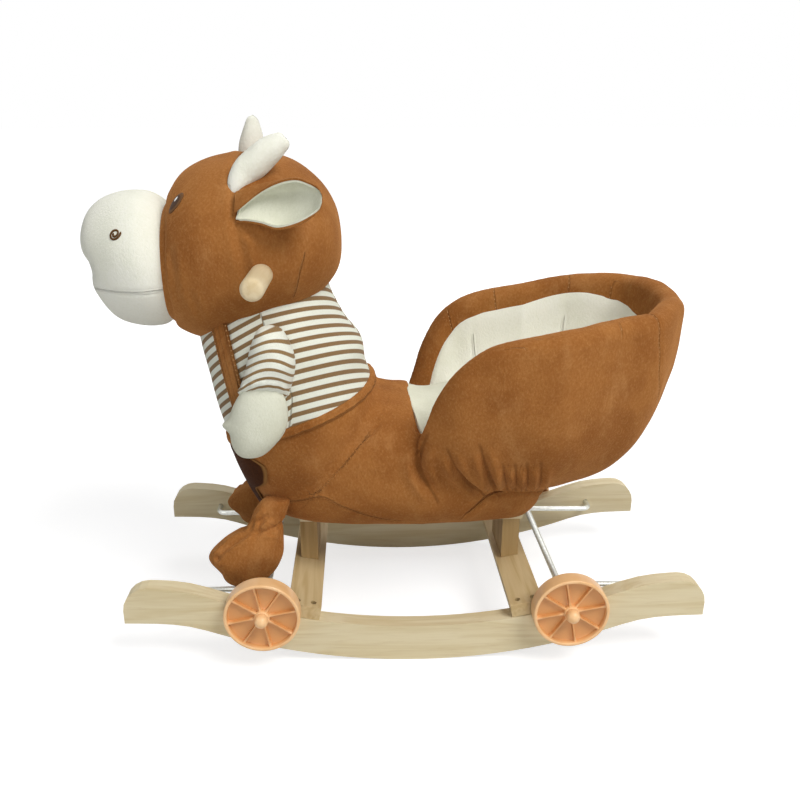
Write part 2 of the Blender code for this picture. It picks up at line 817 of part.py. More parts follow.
TORSO_POWER = 2.3
TORSO = [
    # height, front, back, half width
    (0.116, -0.150, -0.120, 0.020),
    (0.126, -0.160, -0.060, 0.040),
    (0.144, -0.171, -0.040, 0.054),
    (0.178, -0.184, -0.030, 0.070),
    (0.213, -0.193, -0.026, 0.078),
    (0.250, -0.200, -0.022, 0.081),
    (0.275, -0.204, -0.044, 0.080),
    (0.300, -0.209, -0.047, 0.077),
    (0.322, -0.211, -0.062, 0.070),
    (0.345, -0.205, -0.080, 0.058),
]
LOWER_BODY_POWER = 2.5
LOWER_BODY = [
    # place along X, bottom, top, half width
    (-0.150, 0.126, 0.160, 0.030),
    (-0.140, 0.117, 0.175, 0.044),
    (-0.120, 0.1095, 0.205, 0.058),
    (-0.095, 0.1055, 0.232, 0.069),
    (-0.055, 0.105, 0.252, 0.077),
    (-0.020, 0.105, 0.256, 0.079),
    (0.010, 0.105, 0.250, 0.078),
    (0.050, 0.105, 0.240, 0.071),
    (0.090, 0.105, 0.220, 0.060),
    (0.118, 0.108, 0.200, 0.050),
    (0.132, 0.122, 0.180, 0.040),
]


def torso_solid(grow=0.0):
    rings = []
    low = TORSO[0][0]
    high = TORSO[-1][0]
    for i in range(TORSO_STEPS + 1):
        z = low + (high - low) * i / TORSO_STEPS
        front, back, half = blend(TORSO, z)
        centre = Vector(((front + back) / 2, 0, z))
        rings.append(
            ring(centre, Vector((1, 0, 0)), Vector((0, 1, 0)), (back - front) / 2 + grow, half + grow, TORSO_POWER, BODY_SIDES)
        )
    poles = (middle(rings[0]) - Vector((0, 0, 0.003 + grow)), middle(rings[-1]) + Vector((0, 0, grow)))
    return loft(rings, poles)


def lower_body_solid(grow=0.0):
    rings = []
    first = LOWER_BODY[0][0]
    last = LOWER_BODY[-1][0]
    for i in range(LOWER_BODY_STEPS + 1):
        x = first + (last - first) * i / LOWER_BODY_STEPS
        bottom, top, half = blend(LOWER_BODY, x)
        centre = Vector((x, 0, (bottom + top) / 2))
        rings.append(
            ring(centre, Vector((0, 1, 0)), Vector((0, 0, 1)), half + grow, (top - bottom) / 2 + grow, LOWER_BODY_POWER, BODY_SIDES)
        )
    return loft(rings)


def hem_normal():
    return Vector((-HEM_SLOPE, 0, 1)).normalized()


def seam_normal():
    return Vector((1, 0, -SEAM_SLOPE)).normalized()


def inner_boards(assembly):
    """Cutters for the hollows that the boards and the handle take inside the stuffing."""
    return {
        "neck": add_cutter("neck_hollow", neck_solid(GAP), assembly),
        "board": add_cutter("board_hollow", board_solid(GAP, BOARD_HOLLOW_DEPTH), assembly),
        "handle": add_cutter("handle_hollow", handle_solid(BORE_CLEARANCE), assembly),
    }


def make_body(assembly, hollows):
    half_gap = hem_normal() * (GAP / 2)
    shirt = torso_solid()
    keep_side(shirt, HEM_BACK + half_gap, -hem_normal())
    shirt = add_object("striped_shirt", shirt, assembly, SHIRT, "striped_cloth")
    cut(shirt, hollows["left_socket"])
    cut(shirt, hollows["right_socket"])
    cut(shirt, hollows["head"])
    cut(shirt, hollows["neck"])

    overalls = torso_solid()
    keep_side(overalls, HEM_BACK - half_gap, hem_normal())
    keep_side(overalls, SEAM_POINT - seam_normal() * (GAP / 2), seam_normal())
    overalls = add_object("overalls", overalls, assembly, BROWN, "brown_plush")
    cut(overalls, hollows["neck"])
    cut(overalls, hollows["board"])

    base = lower_body_solid()
    keep_side(base, SEAM_POINT + seam_normal() * (GAP / 2), -seam_normal())
    base = add_object("seat_base", base, assembly, BROWN, "brown_plush")
    cut(base, hollows["seat"])
    cut(base, hollows["cushion"])
    cut(base, hollows["neck"])
    cut(base, hollows["board"])


# Bucket seat

SEAT_RIM = [
    # angle from the back, height of the crest, outer radius from the seat's axis, fullness
    (radians(0), 0.339, 0.1440, 2.33),
    (radians(18), 0.345, 0.1390, 2.5),
    (radians(36), 0.342, 0.1370, 2.5),
    (radians(53), 0.341, 0.1250, 2.5),
    (radians(80), 0.335, 0.1175, 2.5),
    (radians(106), 0.327, 0.1230, 2.5),
    (radians(122), 0.318, 0.1340, 2.5),
    (radians(131), 0.3055, 0.1440, 2.5),
    (radians(140), 0.275, 0.1490, 2.5),
    (radians(148), 0.2235, 0.1540, 2.5),
]


def seat_rim(angle):
    """Crest, radius and fullness at one angle: the soft back sags a little towards the cow's left."""
    crest, radius, fullness = blend(SEAT_RIM, abs(angle))
    behind = max(cos(angle), 0.0)
    crest += SEAT_BACK_TILT * sin(angle) * behind
    radius += SEAT_BACK_SKEW * sin(angle) * behind
    return crest, radius, fullness


def seat_profile(angle, inset, floor, drop, grow=0.0):
    """Heights and radii of the seat's surface from the pole to the crest at one angle."""
    crest, radius, power = seat_rim(angle)
    reach = radius - inset + grow
    top = crest - drop
    points = []
    for i in range(SEAT_PROFILE_STEPS + 1):
        t = pi / 2 * i / SEAT_PROFILE_STEPS
        share = sin(t) ** (2 / power)
        level = 1 - cos(t) ** (2 / power)
        points.append((reach * share, floor - grow + (top - floor + grow) * level))
    return points


def seat_point(angle, radius, height):
    return Vector((SEAT_X + radius * cos(angle), radius * sin(angle), height))


def bucket(outer, inner):
    """A bucket wall between an outer and an inner profile, both functions of the angle."""
    bm = bmesh.new()
    rows = []
    bottom = None
    floor = None
    for i in range(SEAT_STATIONS + 1):
        angle = SEAT_SWEEP * (2 * i / SEAT_STATIONS - 1)
        outside = outer(angle)
        inside = inner(angle)
        if bottom is None:
            bottom = bm.verts.new(seat_point(0, 0, outside[0][1]))
            floor = bm.verts.new(seat_point(0, 0, inside[0][1]))
        row = [bottom]
        row += [bm.verts.new(seat_point(angle, r, z)) for r, z in outside[1:] + inside[:0:-1]]
        row.append(floor)
        rows.append(row)
    skin(bm, rows, closed=False)
    bm.faces.new(rows[0][::-1])
    bm.faces.new(rows[-1])
    return bm


def front_wedge():
    """The bucket's open front sector, a clearance wider than the angle that its wall sweeps through."""
    apex = Vector((SEAT_X + GAP / sin(pi - SEAT_SWEEP), 0, 0))
    reach = Vector((cos(SEAT_SWEEP), sin(SEAT_SWEEP), 0)) * SEAT_WEDGE_REACH
    corners = [apex, apex + reach, apex + Vector((reach.x, -reach.y, 0))]
    heights = (SEAT_BOTTOM_Z - SEAT_WALL, SEAT_RIM[0][1])
    return loft([[corner + Vector((0, 0, z)) for corner in corners] for z in heights])


def rolled_rim(angle, grow=0.0):
    """The crest's round top, from the outer face to the inner one."""
    crest, radius, _ = seat_rim(angle)
    half = SEAT_WALL / 2
    points = []
    for i in range(1, 5):
        t = pi * i / 5
        points.append((radius - half + (half + grow) * cos(t), crest - half + (half + grow) * sin(t)))
    return points


def shell_outside(grow=0.0):
    def profile(angle):
        return seat_profile(angle, 0, SEAT_BOTTOM_Z, SEAT_WALL / 2, grow) + rolled_rim(angle, grow)

    return profile


def shell_inside(angle):
    return seat_profile(angle, SEAT_WALL, SEAT_FLOOR_Z, SEAT_WALL / 2)


def shell_solid():
    return bucket(shell_outside(), shell_inside)


def shell_cutter():
    """The seat's outer form with the clearance, filled up to its crest."""

    def filled(angle):
        crest, radius, _ = seat_rim(angle)
        return [(0, crest - 0.001), (radius * 0.5, crest - 0.001)]

    return bucket(shell_outside(GAP), filled)


def lining_profile(angle, inset):
    """The shell's inner face moved inwards, from under the pad to a step below the rolled rim."""
    points = seat_profile(angle, SEAT_WALL + inset, SEAT_FLOOR_Z + inset, SEAT_WALL / 2)
    points = points[SEAT_LINING_FIRST_STEP:]
    (low_r, low_z), (high_r, high_z) = points[-2:]
    share = 1 - SEAT_LINING_DROP / (high_z - low_z)
    points[-1] = (low_r + (high_r - low_r) * share, low_z + (high_z - low_z) * share)
    return points


def lining_solid():
    """The seat's inner cloth, which stops short of the bucket's front ends."""
    bm = bmesh.new()
    rows = []
    for i in range(1, SEAT_STATIONS):
        angle = SEAT_SWEEP * (2 * i / SEAT_STATIONS - 1)
        section = lining_profile(angle, GAP + SEAT_LINING) + lining_profile(angle, GAP)[::-1]
        rows.append([bm.verts.new(seat_point(angle, r, z)) for r, z in section])
    skin(bm, rows)
    bm.faces.new(rows[0][::-1])
    bm.faces.new(rows[-1])
    return keep_side(bm, Vector((0, 0, SEAT_LINING_BOTTOM_Z)), Vector((0, 0, -1)))


CUSHION = [
    # place along X, height of the crown, half width, drop of the sides, middle in Y
    (0.045, 0.247, 0.0710, 0.012, 0.000),
    (0.070, 0.244, 0.0745, 0.011, 0.000),
    (0.100, 0.241, 0.0770, 0.010, 0.000),
    (0.140, 0.239, 0.0745, 0.010, 0.001),
    (0.177, 0.239, 0.0660, 0.010, 0.003),
    (0.200, 0.240, 0.0540, 0.011, 0.005),
    (0.215, 0.240, 0.0400, 0.012, 0.007),
    (0.226, 0.238, 0.0180, 0.013, 0.009),
]


def lower_body_top(x, y):
    bottom, top, half = blend(LOWER_BODY, x)
    share = min(abs(y) / half, 0.97)
    half_height = (top - bottom) / 2
    return (bottom + top) / 2 + half_height * (1 - share**LOWER_BODY_POWER) ** (1 / LOWER_BODY_POWER)


def cushion_section(x, grow):
    """One section of the pad: it lies over the saddle in front, and is a crowned cushion in the seat."""
    crown_z, half, drop, centre = blend(CUSHION, x)
    flat = min(max((x - SADDLE_FRONT_X) / SADDLE_LENGTH, 0.0), 1.0)
    flat = flat * flat * (3 - 2 * flat)
    half = SADDLE_HALF_WIDTH + (half - SADDLE_HALF_WIDTH) * flat
    upper = []
    lower = []
    for k in range(CUSHION_COLUMNS):
        share = sin(pi / 2 * (2 * k / (CUSHION_COLUMNS - 1) - 1))
        y = share * half
        slant = SADDLE_SLANT * abs(share) ** 3 * (1 - flat)
        saddle = lower_body_top(x + slant, y) + SADDLE_RISE
        pad = crown_z - drop * abs(share) ** 2.6
        top = saddle + (pad - saddle) * flat
        upper.append(Vector((x + slant, centre + share * (half + grow), top + grow)))
        thick = CUSHION_EDGE + (CUSHION_THICKNESS - CUSHION_EDGE) * (1 - abs(share) ** 3)
        lower.append(Vector((x + slant, centre + y, top - thick)))
    # the clearance underneath is square to the slope, and wider because the pad also slopes along X
    slopes = []
    for k in range(CUSHION_COLUMNS):
        before = lower[max(k - 1, 0)]
        after = lower[min(k + 1, CUSHION_COLUMNS - 1)]
        slopes.append((after.z - before.z) / (after.y - before.y))
    for point, slope in zip(lower, slopes):
        point.z -= CUSHION_UNDER_CLEARANCE * grow * sqrt(1 + slope**2)
    lower[0].y -= grow
    lower[-1].y += grow
    return upper + lower[::-1]


def cushion_solid(grow=0.0):
    """The cream seat pad: crowned on top, with drawn-in sides, running forward over the saddle."""
    rings = []
    for i in range(CUSHION_STEPS + 1):
        x = SADDLE_FRONT_X + (CUSHION[-1][0] - SADDLE_FRONT_X) * i / CUSHION_STEPS
        section = cushion_section(x, grow)
        shift = -grow if i == 0 else grow if i == CUSHION_STEPS else 0.0
        rings.append([p + Vector((shift, 0, 0)) for p in section])
    return loft(rings)


def make_seat(assembly):
    shell = add_object("seat_shell", shell_solid(), assembly, BROWN, "brown_plush")
    seat_cutter = add_cutter("seat_form", shell_cutter(), assembly)
    cushion_cutter = add_cutter("cushion_form", cushion_solid(GAP), assembly)
    lining = add_object("seat_lining", lining_solid(), assembly, CREAM, "cream_plush")
    add_object("seat_cushion", cushion_solid(), assembly, CREAM, "cream_plush")
    cut(lining, cushion_cutter)
    cut(shell, cushion_cutter)
    cut(shell, add_cutter("seat_front_opening", front_wedge(), assembly))
    return seat_cutter, cushion_cutter


# Head


HEAD = [
    # place along X, bottom, top, half width
    (-0.2405, 0.325, 0.434, 0.056),
    (-0.2360, 0.317, 0.445, 0.066),
    (-0.2220, 0.306, 0.458, 0.077),
    (-0.1950, 0.300, 0.473, 0.086),
    (-0.1550, 0.300, 0.481, 0.088),
    (-0.1150, 0.310, 0.473, 0.083),
    (-0.0900, 0.330, 0.453, 0.069),
    (-0.0760, 0.352, 0.430, 0.048),
    (-0.0695, 0.376, 0.408, 0.020),
]
MUZZLE = [
    # distance behind the tip, bottom, top, half width
    (0.0000, 0.396, 0.410, 0.008),
    (0.0040, 0.381, 0.421, 0.023),
    (0.0135, 0.353, 0.434, 0.040),
    (0.0310, 0.327, 0.4435, 0.055),
    (0.0490, 0.315, 0.4460, 0.065),
    (0.0650, 0.3115, 0.4430, 0.069),
    (0.0800, 0.315, 0.4370, 0.067),
    (0.1000, 0.326, 0.4280, 0.060),
]
HORN_AXES = {
    # root and tip of each horn, which are sewn on unlike
    "left": (Vector((-0.163, -0.048, 0.446)), Vector((-0.1145, -0.056, 0.4935))),
    "right": (Vector((-0.158, 0.038, 0.452)), Vector((-0.1545, 0.046, 0.5125))),
}
EAR_AXES = {
    # root and tip of each ear: the right one droops
    "left": (Vector((-0.158, -0.0745, 0.436)), Vector((-0.081, -0.105, 0.449))),
    "right": (Vector((-0.158, 0.0765, 0.433)), Vector((-0.088, 0.115, 0.408))),
}


def stations(table, steps, crowding=1.0):
    """Places from the first row of a table to its last, closer together where the crowding is."""
    first = table[0][0]
    last = table[-1][0]
    for i in range(steps + 1):
        yield first + (last - first) * (i / steps) ** crowding


def head_solid(grow=0.0):
    rings = []
    for i in range(HEAD_STEPS + 1):
        share = (1 - cos(pi * i / HEAD_STEPS)) / 2
        x = HEAD_FRONT_X + (HEAD_BACK_X - HEAD_FRONT_X) * share
        bottom, top, half = blend(HEAD, x)
        if i == 0:
            x -= grow
        if i == HEAD_STEPS:
            x += grow
        centre = Vector((x, 0, (bottom + top) / 2))
        rings.append(
            ring(centre, Vector((0, 1, 0)), Vector((0, 0, 1)), half + grow, (top - bottom) / 2 + grow, HEAD_POWER, HEAD_SIDES)
        )
    return loft(rings)


def muzzle_solid(grow=0.0):
    rings = []
    for behind in stations(MUZZLE, MUZZLE_STEPS, 1.7):
        bottom, top, half = blend(MUZZLE, behind)
        x = MUZZLE_TIP_X + behind - (grow if behind == 0 else 0)
        centre = Vector((x, 0, (bottom + top) / 2))
        rings.append(
            ring(centre, Vector((0, 1, 0)), Vector((0, 0, 1)), half + grow, (top - bottom) / 2 + grow, HEAD_POWER, MUZZLE_SIDES)
        )
    return loft(rings)


def section_side(table, x, z, power):
    """Half width of a body of elliptic sections at one place and height."""
    bottom, top, half = blend(table, x)
    level = abs(z - (bottom + top) / 2) / ((top - bottom) / 2)
    return half * max(1 - level**power, 0.0) ** (1 / power)


def surface_disc(place, side, table, at, out_x, half_width, half_height, lean, thickness):
    """A thin sewn disc that stands out of a stuffed side, leaning in its own plane."""
    y = side * section_side(table, at, place.z, HEAD_POWER)
    centre = Vector((place.x, y, place.z))
    normal = Vector((out_x, side, 0.18)).normalized()
    right = Vector((1, 0, 0)) - normal * normal.x
    right.normalize()
    turn = lean * side
    across = right * cos(turn) + normal.cross(right) * sin(turn)
    along = normal.cross(across)
    rings = []
    for depth, share in ((-thickness * 2, 1.0), (thickness * 0.5, 1.0), (thickness, 0.7)):
        rings.append(ring(centre + normal * depth, across, along, half_width * share, half_height * share, 2.0, 10))
    return loft(rings)


def make_head(assembly, hollows):
    head = add_object("head", head_solid(), assembly, BROWN, "brown_plush")
    cut(head, hollows["neck"])
    cut(head, hollows["handle"])
    muzzle = add_object("muzzle", muzzle_solid(), assembly, CREAM, "cream_plush")
    cut(muzzle, hollows["head"])
    muzzle_form = add_cutter("muzzle_form", muzzle_solid(GAP), assembly)
    for side, side_name in SIDES:
        root, tip = HORN_AXES[side_name]
        horn = leaf(root, tip, Vector((0, 1, 0)), HORN_HALF_WIDTH, HORN_HALF_THICKNESS)
        cut(add_object(side_name + "_horn", horn, assembly, CREAM, "cream_plush"), hollows["head"])
        root, tip = EAR_AXES[side_name]
        face = Vector((-0.10, side * 0.92, 0.30)).normalized()
        ear = leaf(root, tip, face, EAR_HALF_WIDTH, EAR_HALF_THICKNESS, EAR_FULLEST)
        ear = add_object(side_name + "_ear", ear, assembly, BROWN, "brown_plush")
        cut(ear, hollows["head"])
        form = leaf(root, tip, face, EAR_HALF_WIDTH, EAR_HALF_THICKNESS, EAR_FULLEST, GAP)
        form = add_cutter(side_name + "_ear_form", form, assembly)
        shift = face * EAR_LINING_LIFT
        inset = (tip - root) * EAR_LINING_INSET
        half = EAR_HALF_WIDTH * (1 - EAR_LINING_INSET * 2)
        lining = leaf(root + shift + inset, tip + shift - inset, face, half, EAR_HALF_THICKNESS, EAR_FULLEST)
        lining = add_object(side_name + "_ear_lining", lining, assembly, CREAM, "cream_plush")
        cut(lining, form)
        cut(lining, hollows["head"])
        eye = surface_disc(
            EYE_PLACE, side, HEAD, EYE_PLACE.x, -0.45, EYE_HALF_WIDTH, EYE_HALF_HEIGHT, EYE_LEAN, EYE_THICKNESS
        )
        eye = add_object(side_name + "_eye", eye, assembly, DARK_BROWN, "dark_thread")
        cut(eye, hollows["head"])
        nostril = surface_disc(
            NOSTRIL_PLACE,
            side,
            MUZZLE,
            NOSTRIL_PLACE.x - MUZZLE_TIP_X,
            -0.35,
            NOSTRIL_RADIUS,
            NOSTRIL_RADIUS,
            0.0,
            NOSTRIL_THICKNESS,
        )
        nostril = add_object(side_name + "_nostril", nostril, assembly, DARK_BROWN, "dark_thread")
        cut(nostril, muzzle_form)


# Arms and legs

SLEEVE = [
    # height, front, back, half width
    (0.2690, -0.1615, -0.1205, 0.0185),
    (0.2850, -0.1575, -0.1140, 0.0200),
    (0.3030, -0.1530, -0.1120, 0.0195),
    (0.3200, -0.1480, -0.1165, 0.0170),
    (0.3310, -0.1415, -0.1235, 0.0110),
]
HAND = [
    # height, front, back, half width
    (0.2075, -0.1620, -0.1520, 0.0050),
    (0.2110, -0.1710, -0.1420, 0.0120),
    (0.2220, -0.1780, -0.1280, 0.0175),
    (0.2380, -0.1800, -0.1200, 0.0195),
    (0.2520, -0.1730, -0.1190, 0.0195),
    (0.2685, -0.1620, -0.1205, 0.0185),
]
LEG = [
    # height, front, back, half width
    (0.0560, -0.1790, -0.1620, 0.0060),
    (0.0620, -0.1920, -0.1530, 0.0120),
    (0.0700, -0.1985, -0.1430, 0.0170),
    (0.0880, -0.2085, -0.1330, 0.0225),
    (0.1020, -0.1985, -0.1320, 0.0225),
    (0.1130, -0.1800, -0.1320, 0.0190),
    (0.1240, -0.1650, -0.1315, 0.0145),
    (0.1380, -0.1600, -0.1270, 0.0130),
    (0.1560, -0.1500, -0.1220, 0.0110),
]
LEG_SPLAY = 0.11


def limb(table, steps, middle_y, sides):
    """A stuffed limb of level sections between a front and a back outline."""
    rings = []
    for z in stations(table, steps):
        front, back, half = blend(table, z)
        centre = Vector(((front + back) / 2, middle_y(z), z))
        rings.append(ring(centre, Vector((1, 0, 0)), Vector((0, 1, 0)), (back - front) / 2, half, 2.0, sides))
    return loft(rings)


def arm_middle(side):
    """The arm's middle hangs just outside the plane that its flat inner side lies in."""
    reach = ARM_INNER_Y + 0.0165
    return lambda z: side * reach


def shoulder_drum(side, clearance=0.0):
    """A short round drum about the swing axis, from inside the shirt out to the sleeve."""
    start = Vector((SHOULDER.x, side * (ARM_INNER_Y - SHOULDER_DRUM_DEPTH - clearance), SHOULDER.z))
    radius = SHOULDER_DRUM_RADIUS + clearance
    reach = SHOULDER_DRUM_DEPTH + 0.006
    return turned([(0, radius), (reach, radius)], start, Vector((0, side, 0)), SHOULDER_DRUM_SIDES)


def make_arms(assembly, hollows):
    """Each arm is a striped sleeve with a drum in the shirt, and a cream hand sewn to its end."""
    for side, side_name in SIDES:
        pivot = Vector((SHOULDER.x, side * ARM_INNER_Y, SHOULDER.z))
        inner = Vector((0, side * ARM_INNER_Y, 0))
        sleeve = limb(SLEEVE, ARM_STEPS, arm_middle(side), ARM_SIDES)
        keep_side(sleeve, inner, Vector((0, -side, 0)))
        sleeve = add_object(side_name + "_sleeve", sleeve, assembly, SHIRT, "striped_cloth", pivot)
        drum = add_cutter(side_name + "_drum", shoulder_drum(side), assembly)
        join = sleeve.modifiers.new("drum", "BOOLEAN")
        join.operation = "UNION"
        join.solver = "EXACT"
        join.object = drum
        hand = limb(HAND, ARM_STEPS, arm_middle(side), ARM_SIDES)
        keep_side(hand, inner, Vector((0, -side, 0)))
        keep_side(hand, Vector((0, 0, SLEEVE[0][0] - GAP)), Vector((0, 0, 1)))
        add_object(side_name + "_hand", hand, assembly, CREAM, "cream_plush", pivot)
        socket = add_cutter(side_name + "_shoulder_socket", shoulder_drum(side, SHOULDER_PLAY), assembly)
        hollows[side_name + "_socket"] = socket


def leg_middle(side):
    return lambda z: side * (LEG_PIVOT.y + (LEG_PIVOT.z - z) * LEG_SPLAY)


def make_legs(assembly, hollows):
    for side, side_name in SIDES:
        pivot = Vector((LEG_PIVOT.x, side * LEG_PIVOT.y, LEG_PIVOT.z))
        form = limb(LEG, LEG_STEPS, leg_middle(side), LIMB_SIDES)
        leg = add_object(side_name + "_leg", form, assembly, BROWN, "brown_plush", pivot)
        cut(leg, hollows["torso"])
        cut(leg, hollows["lower body"])


# Straps and patch, sewn on the body's surface


def torso_point(z, x, side, lift):
    """A point lift outside the torso's skin, at one height and place along X."""
    front, back, half = blend(TORSO, z)
    reach = (back - front) / 2 + lift
    share = min(abs(x - (front + back) / 2) / reach, 1.0)
    return Vector((x, side * (half + lift) * (1 - share**TORSO_POWER) ** (1 / TORSO_POWER), z))


def patch_point(z, angle, lift):
    front, back, half = blend(TORSO, z)
    reach = (back - front) / 2 + lift
    c = cos(angle)
    s = sin(angle)
    x = (front + back) / 2 - reach * c ** (2 / TORSO_POWER)
    sideways = (half + lift) * abs(s) ** (2 / TORSO_POWER)
    return Vector((x, sideways if s > 0 else -sideways, z))


def strap_solid(side):
    """A flat band over the shirt's front quarter, from under the head down to the overalls' hem."""
    rings = []
    steps = STRAP_STEPS
    for i in range(steps + 1):
        place = STRAP_TOP.lerp(STRAP_LOW, i / steps)
        row = []
        for across, lift in ((-0.5, GAP), (0, GAP), (0.5, GAP), (0.5, 1), (0, 1), (-0.5, 1)):
            height = lift if lift == GAP else STRAP_THICKNESS + GAP
            row.append(torso_point(place.z, place.x + across * STRAP_WIDTH, side, height))
        rings.append(row)
    return loft(rings)


def patch_solid():
    rings = []
    steps = PATCH_STEPS
    for i in range(steps + 1):
        t = (i + 0.15) / (steps + 0.3)
        z = PATCH_LOW_Z + (PATCH_HIGH_Z - PATCH_LOW_Z) * t
        reach = PATCH_HALF_ANGLE * sqrt(sin(pi * t))
        row = []
        count = 4
        for k in range(count + 1):
            row.append(patch_point(z, reach * (2 * k / count - 1), GAP * 2))
        for k in range(count + 1):
            row.append(patch_point(z, reach * (1 - 2 * k / count), GAP * 2 + PATCH_THICKNESS))
        rings.append(row)
    return loft(rings)


def make_trim(assembly, hollows):
    for side, side_name in SIDES:
        strap = add_object(side_name + "_strap", strap_solid(side), assembly, BROWN, "brown_plush")
        cut(strap, hollows["head"])
    patch = add_object("belly_patch", patch_solid(), assembly, DARK_BROWN, "dark_brown_cloth")
    cut(patch, hollows["torso"])


def main():
    clear_scene()
    assembly = bpy.data.objects.new("assembly", None)
    assembly.location = (-ASSEMBLY_MIDDLE_X, 0, 0)
    bpy.context.collection.objects.link(assembly)
    make_rockers(assembly)
    make_crossbars(assembly)
    make_axle_frames(assembly)
    make_wheels(assembly)
    make_boards(assembly)
    hollows = inner_boards(assembly)
    hollows["head"] = add_cutter("head_form", head_solid(GAP), assembly)
    hollows["torso"] = add_cutter("torso_form", torso_solid(GAP), assembly)
    hollows["lower body"] = add_cutter("lower_body_form", lower_body_solid(GAP), assembly)
    hollows["seat"], hollows["cushion"] = make_seat(assembly)
    make_arms(assembly, hollows)
    make_body(assembly, hollows)
    make_legs(assembly, hollows)
    make_head(assembly, hollows)
    make_trim(assembly, hollows)


main()
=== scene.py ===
"""Looks of the rocking cow: plush, wood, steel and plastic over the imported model."""

from math import cos, pi, radians, sin

import bmesh
import bpy
import numpy as np
from mathutils import Matrix, Vector


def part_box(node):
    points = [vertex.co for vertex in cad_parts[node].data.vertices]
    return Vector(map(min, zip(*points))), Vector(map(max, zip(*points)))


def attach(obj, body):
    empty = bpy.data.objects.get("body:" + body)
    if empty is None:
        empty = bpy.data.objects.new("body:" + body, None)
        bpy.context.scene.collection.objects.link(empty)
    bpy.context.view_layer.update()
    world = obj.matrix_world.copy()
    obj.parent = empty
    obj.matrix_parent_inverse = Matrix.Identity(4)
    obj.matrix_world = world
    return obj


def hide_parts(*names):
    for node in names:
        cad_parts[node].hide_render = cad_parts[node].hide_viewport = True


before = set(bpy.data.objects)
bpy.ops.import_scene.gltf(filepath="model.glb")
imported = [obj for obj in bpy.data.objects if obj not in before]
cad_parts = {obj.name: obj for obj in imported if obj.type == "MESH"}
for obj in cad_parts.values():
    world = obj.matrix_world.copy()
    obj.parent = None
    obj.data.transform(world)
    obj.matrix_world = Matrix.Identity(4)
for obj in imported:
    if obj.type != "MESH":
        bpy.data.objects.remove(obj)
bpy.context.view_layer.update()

# The toy's own frame: X from the middle of the rockers, and this is where that lies in the model
low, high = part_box("left_rocker")
MIDDLE = np.array(((low.x + high.x) / 2, 0.0, 0.0))


# Surfaces


def tenths(*rows):
    """Rows written in tenths of a millimetre, as metres."""
    return np.array(rows, float) / 10000


def by_degrees(*rows):
    """Rows that begin with an angle, which is turned from degrees into radians."""
    return np.array([(radians(angle), *rest) for angle, *rest in rows])


def hermite(t, width, first, last, slope, last_slope):
    """The cubic from one value to the next that keeps a slope at each, for t from 0 to 1 over a width."""
    start = (2 * t**3 - 3 * t**2 + 1) * first + (t**3 - 2 * t**2 + t) * width * slope
    return start + (3 * t**2 - 2 * t**3) * last + (t**3 - t**2) * width * last_slope


def smooth_curve(place, values, slopes, at):
    """Values of the smooth curve that passes the given values with the given slopes."""
    k = np.clip(np.searchsorted(place, at, side="right") - 1, 0, len(place) - 2)
    width = (place[k + 1] - place[k])[..., None]
    t = (at - place[k])[..., None] / width
    return hermite(t, width, values[k], values[k + 1], slopes[k], slopes[k + 1])


def read_table(table, at):
    """Smooth curve through rows of a place and values, whose slope at a row is that between its neighbours."""
    rows = np.array(table, float)
    place, values = rows[:, 0], rows[:, 1:]
    row = np.arange(len(rows))
    before, after = np.maximum(row - 1, 0), np.minimum(row + 1, row[-1])
    slopes = (values[after] - values[before]) / (place[after] - place[before])[:, None]
    return smooth_curve(place, values, slopes, np.clip(np.asarray(at, float), place[0], place[-1]))


def table_columns(table, at):
    return np.moveaxis(read_table(table, at), -1, 0)


def curve_through(points, count, mirror=None):
    """Smooth path through points, spaced by their distances; mirrored ends leave square to a pole's axis."""
    rows = np.array(points, float)
    if mirror is not None:
        rows = np.vstack((rows[1] * mirror, rows, rows[-2] * mirror))
    gaps = np.maximum(np.linalg.norm(np.diff(rows, axis=0), axis=1), 1e-6)
    place = np.concatenate(([0.0], np.cumsum(gaps)))
    step = np.diff(rows, axis=0) / gaps[:, None]
    inner = (step[:-1] * gaps[1:, None] + step[1:] * gaps[:-1, None]) / (gaps[1:] + gaps[:-1])[:, None]
    first, last = (0, -1) if mirror is None else (1, -2)
    at = np.linspace(place[first], place[last], count)
    return smooth_curve(place, rows, np.vstack((step[:1], inner, step[-1:])), at)


def unit(vectors):
    return vectors / np.maximum(np.linalg.norm(vectors, axis=-1, keepdims=True), 1e-12)


def soft_step(value, start, end):
    t = np.clip((value - start) / (end - start), 0, 1)
    return t * t * (3 - 2 * t)


def bell(value, middle, width):
    """One at the middle, and near nought from about twice the width on."""
    return np.exp(-(((value - middle) / width) ** 2))


def rounded(angle, power):
    """A superellipse's two coordinates at an angle."""
    c, s = np.cos(angle), np.sin(angle)
    return np.sign(c) * np.abs(c) ** (2 / power), np.sign(s) * np.abs(s) ** (2 / power)


def both_sides(*lines):
    """Each path as it runs on the cow's left, and its mirror image on the right."""
    return [line * np.array((1.0, hand, 1.0)) for line in lines for hand in (1, -1)]


def grid_faces(rows, columns, around=True, along=False):
    """Quads between neighbours of a grid of points, wrapped where it closes on itself."""
    index = np.arange(rows * columns).reshape(rows, columns)
    if around:
        index = np.hstack((index, index[:, :1]))
    if along:
        index = np.vstack((index, index[:1]))
    return np.stack((index[:-1, :-1], index[:-1, 1:], index[1:, 1:], index[1:, :-1]), -1).reshape(-1, 4)


